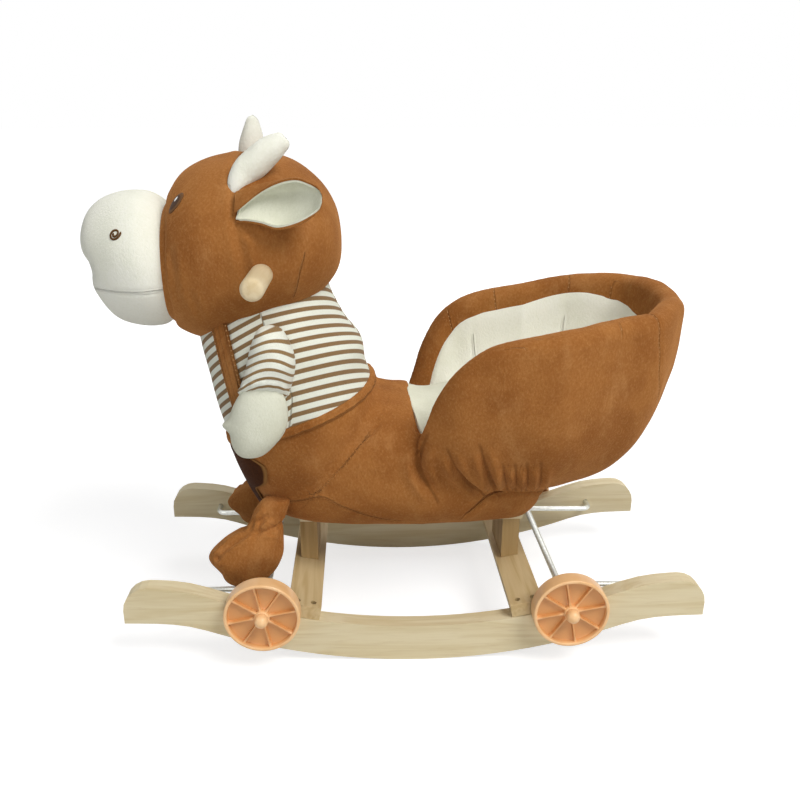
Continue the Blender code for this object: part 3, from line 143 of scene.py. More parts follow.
def closed_tube(rings, start=None, end=None):
    """Points and faces of rings of points, each end closed by a fan to its pole."""
    rows, columns = rings.shape[:2]
    start = rings[0].mean(0) if start is None else np.asarray(start)
    end = rings[-1].mean(0) if end is None else np.asarray(end)
    points = np.vstack((rings.reshape(-1, 3), start, end))
    turn = np.arange(columns)
    following = (turn + 1) % columns
    low = np.stack((following, turn, np.full(columns, rows * columns)), -1)
    top = (rows - 1) * columns
    high = np.stack((top + turn, top + following, np.full(columns, rows * columns + 1)), -1)
    return points, [grid_faces(rows, columns), low, high]


def triangles(faces):
    """The corners of the faces' triangles, each face cut as a fan from its first corner."""
    return np.vstack([face[:, [0, k, k + 1]] for face in faces for k in range(1, face.shape[1] - 1)])


def outwards(points, faces):
    """The same faces, all turned round if the closed form they make is inside out."""
    a, b, c = np.moveaxis(points[triangles(faces)], 1, 0)
    volume = np.einsum("ij,ij->", a, np.cross(b, c))
    return [face[:, ::-1] for face in faces] if volume < 0 else faces


def joined(*forms):
    """Several forms as one list of points and faces."""
    points, faces, count = [], [], 0
    for form_points, form_faces in forms:
        faces += [face + count for face in outwards(form_points, form_faces)]
        points.append(form_points)
        count += len(form_points)
    return np.vstack(points), faces


def point_normals(points, faces):
    """Normals at the points, from the areas of the faces round them."""
    corners = triangles(faces)
    a, b, c = np.moveaxis(points[corners], 1, 0)
    area = np.cross(b - a, c - a)
    total = np.zeros_like(points)
    for corner in corners.T:
        for axis in range(3):
            total[:, axis] += np.bincount(corner, area[:, axis], len(points))
    return unit(total)


def pushed(form, push):
    """A form whose points are each moved out along their normals."""
    points, faces = form
    return points + point_normals(points, faces) * push[:, None], faces


def relaxed(points, faces, share, rounds):
    """Each point moves by its share towards the middle of its neighbours, a number of times."""
    pairs = np.vstack([np.stack((f, np.roll(f, -1, axis=1)), -1).reshape(-1, 2) for f in faces])
    a, b = pairs.T
    count = np.bincount(a, minlength=len(points)) + np.bincount(b, minlength=len(points))
    for _ in range(rounds):
        total = np.empty_like(points)
        for axis in range(3):
            total[:, axis] = np.bincount(a, points[b, axis], len(points))
            total[:, axis] += np.bincount(b, points[a, axis], len(points))
        points = points + share[:, None] * (total / count[:, None] - points)
    return points


def crease(points, path, width, depth, ridge, fade):
    """How far a sewn or folded line pulls the cloth in: a narrow valley with a low ridge on each side.

    Towards its ends the line fades out over a share of its length.
    """
    path = curve_through(path, 28)
    gap = np.full(len(points), 1e9)
    along = np.zeros(len(points))
    for k, (a, b) in enumerate(zip(path[:-1], path[1:])):
        d = b - a
        t = np.clip((points - a) @ d / max(d @ d, 1e-18), 0, 1)
        away = np.linalg.norm(points - a - t[:, None] * d, axis=1)
        closer = away < gap
        gap = np.where(closer, away, gap)
        along = np.where(closer, (k + t) / (len(path) - 1), along)
    ends = soft_step(np.minimum(along, 1 - along), 0, fade) if fade else 1.0
    return ends * depth * (ridge * bell(gap, 2.1 * width, 1.2 * width) - bell(gap, 0, width))


def creases(points, lines):
    """The pull of all creases in a list of paths with sizes, on both sides of the cow."""
    push = np.zeros(len(points))
    for line, *sizes in lines:
        for path in both_sides(line):
            push += crease(points, path, *sizes)
    return push


def waves(points, scale, seed):
    """Slow uneven swellings: sines of a few directions added up."""
    steps = np.random.default_rng(seed)
    total = np.zeros(len(points))
    for _ in range(7):
        direction = unit(steps.normal(size=3)) * steps.uniform(0.6, 1.5) * 2 * pi / scale
        total += np.sin(points @ direction + steps.uniform(0, 2 * pi))
    return total / 3.5


MARK_REACH = 0.02
MARK_FADE = 0.008
MARK_WIDTH = 0.004


def sewn(name, form, paths, reach=MARK_REACH):
    """Marks for a line on the surface: how far each point lies to its side, how far off it, and along it."""
    points, faces = form
    normals = point_normals(points, faces)
    best = np.full(len(points), 1e9)
    side, off, run = np.full(len(points), MARK_REACH), np.full(len(points), MARK_REACH), np.zeros(len(points))
    for path in paths:
        path = curve_through(path, 40)
        start = 0.0
        for a, b in zip(path[:-1], path[1:]):
            length = np.linalg.norm(b - a)
            ahead = (b - a) / length
            t = (points - a) @ ahead
            held = np.clip(t, 0, length)
            away = points - a - held[:, None] * ahead
            gap = np.linalg.norm(away, axis=1)
            level = (away * unit(np.cross(ahead, normals))).sum(1)
            depth = np.abs((away * normals).sum(1))
            past = np.abs(t - held) + np.maximum(depth - reach, 0) + np.maximum(np.abs(level) - MARK_WIDTH, 0)
            closer = gap < best
            best = np.where(closer, gap, best)
            side = np.where(closer, level, side)
            off = np.where(closer, past, off)
            run = np.where(closer, start + held, run)
            start += length
    return {name: side, name + "_on": np.clip(1 - off / MARK_FADE, 0, 1), name + "_run": run}


def link(name, data):
    made = bpy.data.objects.new(name, data)
    bpy.context.scene.collection.objects.link(made)
    return made


def make_piece(name, form, finish, body="toy", stands_for=(), slot=None, fill=None, sharp=None, marks=None):
    """Puts a form, given in the toy's own frame, into the scene as a piece that rides on a body."""
    points, faces = form
    faces = outwards(points, faces)
    mesh = bpy.data.meshes.new(name)
    loops = np.concatenate([face.ravel() for face in faces])
    sizes = np.concatenate([np.full(len(face), face.shape[1]) for face in faces])
    mesh.vertices.add(len(points))
    mesh.vertices.foreach_set("co", (points + MIDDLE).astype(np.float32).ravel())
    mesh.loops.add(len(loops))
    mesh.loops.foreach_set("vertex_index", loops.astype(np.int32))
    mesh.polygons.add(len(sizes))
    mesh.polygons.foreach_set("loop_start", (np.cumsum(sizes) - sizes).astype(np.int32))
    mesh.update(calc_edges=True)
    mesh.shade_smooth()
    if sharp:
        mesh.set_sharp_from_angle(angle=radians(sharp))
    for mark, values in (marks or {}).items():
        mesh.attributes.new(mark, "FLOAT", "POINT").data.foreach_set("value", values.astype(np.float32))
    mesh.materials.append(finish)
    made = link(name, mesh)
    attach(made, body)
    if stands_for:
        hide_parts(*stands_for)
    return made


def make_cover(node, form, finish, body="toy", **more):
    """A piece of cloth that stands for one node and has its name."""
    return make_piece(node + "_cover", form, finish, body, (node,), **more)


def draft_mesh(points, faces):
    mesh = bpy.data.meshes.new("draft")
    mesh.from_pydata(points.tolist(), [], [row for face in faces for row in face.tolist()])
    return mesh


def modified(points, faces, kind, **settings):
    """A form's points, and the corners of its faces in a row, after one modifier."""
    draft = draft_mesh(points, faces)
    holder = link("draft", draft)
    modifier = holder.modifiers.new("change", kind)
    for key, value in settings.items():
        setattr(modifier, key, value)
    made = bpy.data.meshes.new_from_object(holder.evaluated_get(bpy.context.evaluated_depsgraph_get()))
    places = np.empty(len(made.vertices) * 3)
    made.vertices.foreach_get("co", places)
    corners = np.empty(len(made.loops), np.int32)
    made.loops.foreach_get("vertex_index", corners)
    bpy.data.objects.remove(holder)
    bpy.data.meshes.remove(draft)
    bpy.data.meshes.remove(made)
    return places.reshape(-1, 3), corners


def one_skin(forms, voxel):
    """One skin of even quads round several closed forms that overlap."""
    points, corners = modified(*joined(*forms), "REMESH", mode="VOXEL", voxel_size=voxel)
    return points, [corners.reshape(-1, 4)]


def swept(rows, steps, sides, power, upright):
    """A stuffed form: rings of superellipses along its rows, closed by rounded ends.

    Rows of an upright form give height, front, back and half width of level sections. Rows of a long one
    give the place along X, bottom, top and half width of upright sections.
    """
    place, low, high, half = np.array(rows).T
    path = np.stack((place, (low + high) / 2, (high - low) / 2, half), 1)
    path = curve_through(path, steps, mirror=np.array((1.0, 1.0, -1.0, -1.0)))
    inner = path[1:-1]
    along, across = rounded(2 * pi * (np.arange(sides) + 0.5) / sides, power)
    place = np.repeat(inner[:, :1], sides, axis=1)
    first, second = inner[:, 1:2] + inner[:, 2:3] * along, inner[:, 3:4] * across
    order = (first, second, place) if upright else (place, second, first)
    poles = [(p[1], 0, p[0]) if upright else (p[0], 0, p[1]) for p in (path[0], path[-1])]
    points, faces = closed_tube(np.stack(order, -1), *poles)
    return points, outwards(points, faces)


def laid_grid(grid, target, lift):
    """A grid of points, each moved to the nearest place on another piece and lifted off it."""
    rows, columns = grid.shape[:2]
    faces = [grid_faces(rows, columns, around=False)]
    points = grid.reshape(-1, 3) + MIDDLE
    laid, _ = modified(points, faces, "SHRINKWRAP", target=target, wrap_mode="ABOVE_SURFACE", offset=lift)
    return (laid - MIDDLE).reshape(grid.shape)


def band(grid, thickness, outward):
    """A flat band of cloth over a grid of points: the grid lifted on both sides, with round edges."""
    normal = unit(np.cross(np.gradient(grid, axis=0), np.gradient(grid, axis=1)))
    normal *= np.sign((normal * outward).sum(-1, keepdims=True))
    t = np.linspace(-1, 1, grid.shape[1])[None, :, None]
    half = thickness / 2 * (1 - np.abs(t) ** 6) ** 0.5
    middle = grid + normal * thickness / 2
    return closed_tube(np.concatenate((middle + normal * half, (middle - normal * half)[:, ::-1][:, 1:-1]), 1))


def tube(path, radius, sides, flat, face):
    """A flattened cord along a path; its radius may change, and it tapers to a pole at each end."""
    ahead = unit(np.gradient(path, axis=0))
    across = unit(np.cross(ahead, np.array(face, float)))
    lift = np.cross(across, ahead)
    angle = 2 * pi * np.arange(sides) / sides
    size = radius[:, None, None]
    ring = across[:, None] * np.cos(angle)[None, :, None] + flat * lift[:, None] * np.sin(angle)[None, :, None]
    start = path[0] - ahead[0] * size[0, 0, 0] * 0.5
    end = path[-1] + ahead[-1] * size[-1, 0, 0] * 0.5
    return closed_tube(path[:, None] + size * ring, start, end)


# Finishes


class Value:
    """One output of a shader tree. Sums and products of it add Math nodes."""

    def __init__(self, finish, socket):
        self.finish = finish
        self.socket = socket

    def math(self, operation, *others):
        return self.finish.calculate(operation, self, *others)

    __add__ = __radd__ = lambda self, other: self.math("ADD", other)
    __mul__ = __rmul__ = lambda self, other: self.math("MULTIPLY", other)
    __sub__ = lambda self, other: self.math("SUBTRACT", other)
    __rsub__ = lambda self, other: self.finish.calculate("SUBTRACT", other, self)
    __truediv__ = lambda self, other: self.math("DIVIDE", other)
    __pow__ = lambda self, other: self.math("POWER", other)
    __mod__ = lambda self, other: self.math("FLOORED_MODULO", other)
    __abs__ = lambda self: self.math("ABSOLUTE")


class Tree:
    """A shader tree, to which nodes are added with one call each."""

    def __init__(self, tree):
        self.tree = tree

    def node(self, kind, settings=None, inputs=None, out=0):
        made = self.tree.nodes.new(kind)
        for key, value in (settings or {}).items():
            setattr(made, key, value)
        for key, value in (inputs or {}).items():
            self.feed(made.inputs[key], value)
        return Value(self, made.outputs[out]) if made.outputs else None

    def feed(self, socket, value):
        if isinstance(value, Value):
            self.tree.links.new(value.socket, socket)
        else:
            socket.default_value = value

    def calculate(self, operation, *values):
        return self.node("ShaderNodeMath", {"operation": operation}, dict(enumerate(values)))

    def seen(self):
        """One on rays from the camera and on reflected ones."""
        rays = self.node("ShaderNodeLightPath")
        return rays.math("MAXIMUM", Value(self, rays.socket.node.outputs["Is Glossy Ray"]))

    def place(self):
        return self.node("ShaderNodeTexCoord", out=3)

    def stretched(self, scale, turn=(0, 0, 0)):
        """Object coordinates times a scale for each axis."""
        return self.node("ShaderNodeMapping", None, {"Vector": self.place(), "Scale": scale, "Rotation": turn})

    def noise(self, scale, detail=2.0, roughness=0.5, vector=None, distortion=0.0):
        inputs = {"Scale": scale, "Detail": detail, "Roughness": roughness, "Distortion": distortion}
        inputs["Vector"] = vector or self.place()
        return self.node("ShaderNodeTexNoise", None, inputs)

    def axis(self, name):
        return self.node("ShaderNodeSeparateXYZ", None, {0: self.place()}, out="XYZ".index(name))

    def mark(self, name):
        """A value that the piece keeps at its points."""
        return self.node("ShaderNodeAttribute", {"attribute_name": name}, out=2)

    def line(self, name, half_width):
        """One on a sewn line, nought beside it and past its ends."""
        beside = self.step(abs(self.mark(name)), half_width * 0.2, half_width, 1.0, 0.0)
        return beside * self.step(self.mark(name + "_on"), 0.1, 0.95)

    def threads(self, name, half_width, pitch):
        """Dashes of thread along a sewn line."""
        dash = self.mark(name + "_run") % pitch
        return self.line(name, half_width) * self.step(dash, pitch * 0.28, pitch * 0.36, 1.0, 0.0)

    def step(self, value, start, end, low=0.0, high=1.0):
        """Rises smoothly from low to high between two values."""
        inputs = {"Value": value, "From Min": start, "From Max": end, "To Min": low, "To Max": high}
        return self.node("ShaderNodeMapRange", {"interpolation_type": "SMOOTHSTEP"}, inputs)

    def mix(self, share, first, second):
        return self.node("ShaderNodeMix", {"data_type": "RGBA"}, {0: share, 6: first, 7: second}, out=2)

    def bump(self, height, distance, strength):
        inputs = {"Height": height, "Distance": distance, "Strength": strength}
        return self.node("ShaderNodeBump", None, inputs)


class Finish(Tree):
    """A material being made."""

    def __init__(self, name):
        self.material = bpy.data.materials.new(name)
        self.material.use_nodes = True
        super().__init__(self.material.node_tree)
        self.shader = self.tree.nodes["Principled BSDF"]

    def finish(self, colour, roughness, normal=None, **constant):
        self.feed(self.shader.inputs["Base Color"], colour)
        self.feed(self.shader.inputs["Roughness"], roughness)
        if normal:
            self.feed(self.shader.inputs["Normal"], normal)
        for key, value in constant.items():
            self.shader.inputs[key.replace("_", " ")].default_value = value
        return self.material


def rgb(red, green, blue):
    """A colour as seen on a screen, from 0 to 255, made linear for the shader."""
    seen = np.array((red, green, blue)) / 255
    linear = np.where(seen <= 0.04045, seen / 12.92, ((seen + 0.055) / 1.055) ** 2.4)
    return (*[float(v) for v in linear], 1.0)


def nap(made, tone, deep, pale):
    """Short pile brushed one way: a fine pebbled grain, faint clouds, and the height for its bump."""
    clouds = made.noise(16.0, 3.0, 0.55)
    patches = made.noise(34.0, 3.0, 0.6, made.stretched((1.0, 1.0, 0.5)), 0.4)
    brushed = made.noise(520.0, 3.0, 0.6, made.stretched((1.0, 1.0, 0.7), (0, radians(18), 0)))
    grain = made.noise(1900.0, 2.0, 0.6)
    colour = made.mix(made.step(clouds, 0.38, 0.66) * 0.75, tone, deep)
    colour = made.mix(made.step(patches, 0.5, 0.72) * 0.30, colour, pale)
    colour = made.mix(made.step(brushed, 0.45, 0.78) * 0.34, colour, pale)
    colour = made.mix(made.step(brushed, 0.24, 0.5, 1.0, 0.0) * 0.42, colour, deep)
    colour = made.mix(made.step(grain, 0.4, 0.8) * 0.12, colour, pale)
    return colour, brushed + 0.35 * grain


def plush(name, tone, deep, pale, sheen, sewing=0.0, thread=None, edge=None):
    """Plush, drawn in along its sewn lines, with dashes of thread where a line is stitched from outside,
    painted shade along the folds of the gathers, and a painted highlight along the border of a piece given an
    edge colour.
    """
    made = Finish(name)
    colour, height = nap(made, tone, deep, pale)
    shade = tuple(v * 0.5 for v in deep[:3]) + (1.0,)
    if sewing:
        seam = made.line("seam", 0.0010)
        colour = made.mix(seam * sewing, colour, shade)
        height = height - 4.0 * seam + 1.6 * made.line("seam", 0.0030)
    if thread:
        # Painted shade: darker plush along the folds of the gathers, where shade falls in the creases.
        colour = made.mix(made.line("fold", 0.0026) * 0.45, colour, shade)
        dashes = made.threads("stitch", 0.0007, 0.0046)
        colour = made.mix(dashes * 0.8, colour, thread)
        height = height - 2.5 * made.line("stitch", 0.0014) + 2.5 * dashes
    # Painted highlight: a lighter colour painted along the border of a piece, where its edge mark is high.
    if edge:
        colour = made.mix(made.step(made.mark("edge"), 0.93, 0.97), colour, edge)
    soft = {"Sheen_Weight": sheen, "Sheen_Roughness": 0.5, "Sheen_Tint": pale, "Specular_IOR_Level": 0.15}
    return made.finish(colour, 0.93, made.bump(height, 0.0006, 0.8), **soft)


def striped(name, cream, brown, stripes, share):
    """Knitted cloth with woven stripes: brown takes up a share of each step of the level that stripes gives."""
    made = Finish(name)
    x, y, z = made.axis("X") - float(MIDDLE[0]), abs(made.axis("Y")), made.axis("Z")
    level = stripes(made, x, y, z)
    knit = made.noise(900.0, 2.0, 0.6)
    loops = made.noise(2600.0, 1.0, 0.5, made.stretched((1.0, 1.0, 0.4)))
    wave = abs((level + 0.03 * (knit - 0.5)) % 1.0 - 0.5)
    stripe = made.step(wave, share / 2 - 0.04, share / 2 + 0.04, 1.0, 0.0)
    pale = made.mix(made.step(knit, 0.3, 0.8) * 0.5, cream, rgb(214, 216, 200))
    dark = made.mix(made.step(knit, 0.3, 0.8) * 0.6, brown, rgb(116, 88, 62))
    seam = made.line("seam", 0.0012)
    colour = made.mix(seam * 0.55, made.mix(stripe, pale, dark), rgb(110, 98, 78))
    normal = made.bump(knit + loops - 4.0 * seam, 0.0003, 0.5)
    return made.finish(colour, 0.95, normal, Sheen_Weight=0.1, Sheen_Roughness=0.6, Specular_IOR_Level=0.12)


def sleeve_stripes(made, x, y, z):
    """Stripes on the sleeve hang a little, by the square of the distance from its leaning middle."""
    aside = x + 0.1295 + (0.315 - z) * 0.17
    return (z + 24.0 * aside * aside - 0.0030) / 0.0080


def shirt_stripes(made, x, y, z):
    """Stripes on the shirt climb at one slant behind the side seam and at a steeper one before it."""
    seam_x = (0.324 - z).math("MINIMUM", 0.06) * 0.36 - 0.1383
    front = made.step(x - seam_x, -0.0008, 0.0008, 1.0, 0.0)
    behind = z - 0.285 * x - 0.43 * y
    before = z - 0.55 * x - 0.37 * y - 0.0345
    return (behind + front * (before - behind)) / 0.0104


def stitched_eye(name):
    """Satin stitch: a dark oval with a lighter rim of thread and a white glint, placed by two coordinates."""
    made = Finish(name)
    across, along = made.mark("across"), made.mark("along")
    far = (across * across + along * along) ** 0.5
    threads = made.noise(10.0, 2.0, 0.5, made.stretched((260.0, 260.0, 30.0), (0, radians(38), 0)))
    colour = made.mix(made.step(far, 0.62, 0.8), rgb(54, 30, 10), rgb(96, 64, 30))
    colour = made.mix(made.step(threads, 0.45, 0.7) * 0.4, colour, rgb(76, 48, 22))
    # Painted highlight: a white glint painted into the stitch's colour.
    glint_across, glint_along = (across + 0.16) / 0.24, (along - 0.34) / 0.26
    glint = made.step(glint_across * glint_across + glint_along * glint_along, 0.7, 1.1, 1.0, 0.0)
    colour = made.mix(glint, colour, rgb(250, 250, 246))
    return made.finish(colour, 0.6, made.bump(threads, 0.0003, 0.5), Specular_IOR_Level=0.3)


def timber(name, pale, deep, along):
    """Sanded pale wood: grain lines long along one axis, with cloudy growth bands behind them."""
    made = Finish(name)
    where = made.stretched([3.0 if axis == along else 42.0 for axis in "XYZ"])
    lines = made.noise(9.0, 6.0, 0.62, where, 0.6)
    bands = made.noise(2.2, 2.0, 0.5, where, 1.1)
    pores = made.noise(60.0, 2.0, 0.6, where)
    colour = made.mix(made.step(bands, 0.35, 0.7), pale, deep)
    colour = made.mix(made.step(lines, 0.5, 0.78) * 0.26, colour, rgb(184, 154, 108))
    return made.finish(colour, 0.55 + 0.15 * lines, made.bump(pores, 0.0003, 0.3), Specular_IOR_Level=0.3)


def steel(name, tone, roughness):
    """Dull zinc or dark metal with faint marks."""
    made = Finish(name)
    marks = made.noise(260.0, 3.0, 0.6)
    colour = made.mix(made.step(marks, 0.3, 0.8), rgb(*tone), rgb(*[v - 24 for v in tone]))
    return made.finish(colour, roughness + 0.2 * marks, made.bump(marks, 0.0002, 0.15), Metallic=0.75)


def moulded(name, tone, shade, recess_shade):
    """Soft moulded plastic, with painted shade: a deeper colour where the mould is sunk."""
    made = Finish(name)
    flow = made.noise(60.0, 2.0, 0.5)
    fine = made.noise(1500.0, 1.0, 0.5)
    colour = made.mix(made.step(flow, 0.35, 0.75), tone, shade)
    # Painted shade: the sunk faces take the deeper colour.
    colour = made.mix(made.mark("recess_shade"), colour, recess_shade)
    return made.finish(colour, 0.34 + 0.1 * flow, made.bump(fine, 0.0001, 0.2), Coat_Weight=0.1)


BROWN_TONES = rgb(158, 102, 50), rgb(130, 76, 30), rgb(194, 140, 86)
CREAM_TONES = rgb(243, 243, 230), rgb(233, 234, 217), rgb(249, 249, 241)
# A darker copy of the cream plush, as painted shade for the ear linings, the seat pad and the hands
SHADED_CREAM_TONES = rgb(222, 223, 204), rgb(208, 209, 188), rgb(234, 235, 220)
DARK_TONES = rgb(62, 32, 11), rgb(46, 21, 6), rgb(84, 48, 20)
THREAD_TONES = rgb(104, 74, 42), rgb(80, 52, 26), rgb(126, 94, 60)
BROWN = plush("brown_plush", *BROWN_TONES, 0.5, sewing=0.42, thread=rgb(212, 160, 108))
CREAM = plush("cream_plush", *CREAM_TONES, 0.08, sewing=0.2)
SHADED_CREAM = plush("cream_plush_shaded", *SHADED_CREAM_TONES, 0.06, sewing=0.14)
BROWN_PLAIN = plush("brown_trim", *BROWN_TONES, 0.5)
# Its edge colour is a painted highlight along the patch's border.
DARK = plush("dark_cloth", *DARK_TONES, 0.0, edge=rgb(138, 98, 54))
SHIRT = striped("shirt_cloth", rgb(232, 235, 222), rgb(140, 112, 76), shirt_stripes, 0.45)
SLEEVES = striped("sleeve_cloth", rgb(236, 238, 226), rgb(150, 122, 82), sleeve_stripes, 0.36)
EYE = stitched_eye("eye_thread")
THREAD = plush("dark_thread", *THREAD_TONES, 0.05)
POPLAR = timber("poplar", rgb(224, 211, 176), rgb(212, 195, 154), "X")
POPLAR_POST = timber("poplar_post", rgb(172, 144, 98), rgb(150, 120, 74), "Z")
POPLAR_CROSS = timber("poplar_cross", rgb(206, 184, 140), rgb(188, 162, 114), "Y")
DOWEL = timber("dowel", rgb(224, 206, 170), rgb(214, 192, 150), "Y")
STEEL = steel("zinc_wire", (226, 228, 222), 0.28)
SCREW = steel("dark_screw", (92, 84, 70), 0.4)
# The third tone is painted shade for the wheels' sunk web.
PEACH = moulded("peach_plastic", rgb(242, 197, 144), rgb(235, 184, 126), rgb(212, 152, 92))


# Torso, overalls, body and bucket seat

# Height, front, back, half width
TORSO = tenths(
    (1150, -1350, -1350, 0), (1160, -1500, -1200, 200), (1260, -1600, -600, 400),
    (1440, -1675, -400, 540), (1780, -1800, -300, 700), (2130, -1905, -260, 780),
    (2500, -1995, -365, 810), (2750, -2040, -472, 800), (3000, -2090, -510, 770),
    (3220, -2110, -675, 700), (3450, -2050, -795, 590), (3620, -1960, -860, 480),
    (3700, -1850, -990, 340), (3715, -1425, -1425, 0)
)
# Place along X, bottom, top, half width
LOWER_BODY = tenths(
    (-1510, 1430, 1430, 0), (-1500, 1260, 1600, 300), (-1400, 1170, 1750, 440), (-1200, 1095, 2050, 580),
    (-950, 1055, 2320, 690), (-550, 1050, 2460, 770), (-200, 1050, 2475, 790), (100, 1050, 2385, 780),
    (500, 1050, 2320, 710), (900, 1050, 2200, 600), (1180, 1080, 2000, 500), (1320, 1220, 1800, 400),
    (1335, 1510, 1510, 0)
)
TORSO_POWER = 2.3
SKIN_QUAD = 0.0024
SEAT_X = 0.130
SEAT_BOTTOM_Z = 0.145
SEAT_FLOOR_Z = 0.196
SEAT_WALL = 0.024
SEAT_SWEEP = radians(148)
SADDLE_FRONT_X = -0.004
SADDLE_LENGTH = 0.050
SADDLE_HALF_WIDTH = 0.0715
SADDLE_SLANT = 0.016
# Angle from the back, height of the crest, outer radius from the seat's axis, fullness
SEAT_RIM = by_degrees(
    (0, 0.339, 0.1440, 2.33), (18, 0.345, 0.1390, 2.5), (36, 0.342, 0.1370, 2.5), (53, 0.341, 0.1250, 2.5),
    (80, 0.335, 0.1175, 2.5), (106, 0.327, 0.1230, 2.5), (122, 0.318, 0.1340, 2.5), (131, 0.3015, 0.1440, 2.5),
    (140, 0.271, 0.1490, 2.5), (148, 0.2235, 0.1540, 2.5)
)
# Place along X, height of the crown, half width, drop of the sides, middle in Y
CUSHION = tenths(
    (450, 2415, 710, 120, 0), (700, 2410, 745, 110, 0), (1000, 2400, 770, 100, 0),
    (1400, 2390, 745, 100, 10), (1770, 2390, 660, 100, 30), (2000, 2400, 575, 110, 80),
    (2160, 2400, 480, 120, 140), (2290, 2380, 310, 130, 170)
)
HEM_SLOPE = 0.385
HEM_POINT = np.array((-0.046, 0.0, 0.2610))
HEM_NORMAL = unit(np.array((-HEM_SLOPE, 0.0, 1.0)))
HEM_WIDTH = 0.0105
HEM_THICKNESS = 0.0018
SEAM_POINT = np.array((-0.027, 0.0, 0.242))
SEAM_NORMAL = unit(np.array((1.0, 0.0, -0.816)))

# Where the photograph shows seams and folds on the cow's left, as points on the solids
WAIST_SEAM = tenths(
    (-130, 0, 2590), (-165, -242, 2550), (-222, -425, 2477), (-290, -559, 2395), (-472, -670, 2170),
    (-675, -690, 1920), (-835, -665, 1727), (-976, -607, 1553)
)
BELLY_SEAM = tenths(
    (-1506, -384, 1394), (-1246, -522, 1448), (-1089, -568, 1502), (-976, -607, 1553),
    (-911, -650, 1570), (-685, -690, 1480), (-428, -673, 1345), (-134, -615, 1254), (200, -560, 1180)
)
COVER_EDGE = tenths(
    (491, -569, 1255), (572, -626, 1352), (667, -638, 1457), (755, -637, 1533), (923, -587, 1551),
    (1086, -533, 1545), (1262, -432, 1505), (1330, -200, 1490), (1340, 0, 1490)
)
RIM_SEAM = tenths(
    (2120, -560, 3390), (2200, -725, 3346), (2221, -763, 3204), (2253, -737, 3005), (2283, -695, 2796),
    (2340, -569, 2522)
)
FAR_RIM_SEAM = tenths(
    (1823, -1040, 3419), (1825, -990, 3380), (1815, -962, 3265)
)
MID_RIM_SEAM = tenths(
    (986, -1040, 3290), (986, -968, 3201), (1012, -943, 3046)
)
FRONT_RIM_SEAM = tenths(
    (480, -980, 3010), (490, -894, 2935), (538, -878, 2788)
)
SHIRT_SEAM = tenths(
    (-1440, -560, 3400), (-1383, -681, 3240), (-1280, -770, 2950), (-1159, -799, 2618),
    (-1173, -800, 2499), (-1204, -797, 2300)
)
GATHERS = [
    # width and depth of the fold, and its path
    (0.0040, 0.0058, tenths((303, -943, 2167), (480, -780, 1790), (712, -640, 1540))),
    (0.0036, 0.0054, tenths((580, -1024, 2238), (690, -880, 1900), (828, -615, 1544))),
    (0.0048, 0.0044, tenths((108, -887, 2277), (24, -809, 1999), (224, -736, 1535))),
    (0.0032, 0.0038, tenths((818, -950, 2000), (880, -800, 1780), (936, -640, 1600))),
    (0.0028, 0.0036, tenths((929, -963, 2004), (980, -800, 1780), (1023, -620, 1590))),
    (0.0028, 0.0036, tenths((1040, -973, 2017), (1090, -800, 1790), (1126, -600, 1590))),
    (0.0030, 0.0034, tenths((1168, -986, 2042), (1210, -800, 1800), (1238, -580, 1590))),
]
SEAMS = both_sides(WAIST_SEAM[4:], BELLY_SEAM, COVER_EDGE)
STITCHED = both_sides(RIM_SEAM, FAR_RIM_SEAM, MID_RIM_SEAM, FRONT_RIM_SEAM)
# Paths of the gathers' folds, along which shade is painted into the plush.
FOLD_SHADE_PATHS = both_sides(*[fold for _, _, fold in GATHERS])
BODY_CREASES = [
    # path, then the width, depth, ridge and fade of its crease
    (WAIST_SEAM, 0.0100, 0.0026, 0.6, 0.15),
    (WAIST_SEAM, 0.0026, 0.0018, 0.3, 0.1),
    (BELLY_SEAM, 0.0022, 0.0014, 0.3, 0.05),
    (COVER_EDGE, 0.0030, 0.0034, 0.6, 0.05),
    (RIM_SEAM, 0.0024, 0.0012, 0.3, 0.1),
    *[(fold, width, depth, 0.8, 0.3) for width, depth, fold in GATHERS],
]


def seat_rim(angle):
    """Crest, radius and fullness at an angle: the soft back sags a little towards the cow's left."""
    crest, radius, power = table_columns(SEAT_RIM, np.abs(angle))
    behind = np.maximum(np.cos(angle), 0.0)
    return crest + 0.009 * np.sin(angle) * behind, radius + 0.029 * np.sin(angle) * behind, power


def seat_profile(angle, inset, floor, drop, steps):
    """Radii and heights of the bucket's wall, from the middle of its floor up to the crest."""
    crest, radius, power = [v[:, None] for v in seat_rim(angle)]
    t = np.linspace(0, pi / 2, steps)[None, :]
    share = np.sin(t) ** (2 / power)
    level = 1 - np.cos(t) ** (2 / power)
    return (radius - inset) * share, floor + (crest - drop - floor) * level


def seat_points(angle, radius, height):
    turn = angle[:, None]
    return np.stack((SEAT_X + radius * np.cos(turn), radius * np.sin(turn), height + 0 * turn), -1)


def bucket_form(stations, steps):
    """The padded wall: up the outside, over the round crest, down the inside, swept about the seat's axis."""
    angle = np.linspace(-SEAT_SWEEP, SEAT_SWEEP, stations)
    crest, radius, _ = [v[:, None] for v in seat_rim(angle)]
    half = SEAT_WALL / 2
    outer_r, outer_z = seat_profile(angle, 0, SEAT_BOTTOM_Z, half, steps)
    inner_r, inner_z = seat_profile(angle, SEAT_WALL, SEAT_FLOOR_Z, half, steps)
    t = np.linspace(0, pi, 10)[None, 1:-1]
    reach = np.hstack((outer_r, radius - half + half * np.cos(t), inner_r[:, ::-1]))
    height = np.hstack((outer_z, crest - half + half * np.sin(t), inner_z[:, ::-1]))
    rows = seat_points(angle, reach, height)
    rows[:, 0] = (SEAT_X, 0, SEAT_BOTTOM_Z)
    rows[:, -1] = (SEAT_X, 0, SEAT_FLOOR_Z)
    count, columns = rows.shape[:2]
    ends = np.arange(columns)[None, :]
    faces = [grid_faces(count, columns), ends, (ends + (count - 1) * columns)[:, ::-1]]
    return rows.reshape(-1, 3), faces


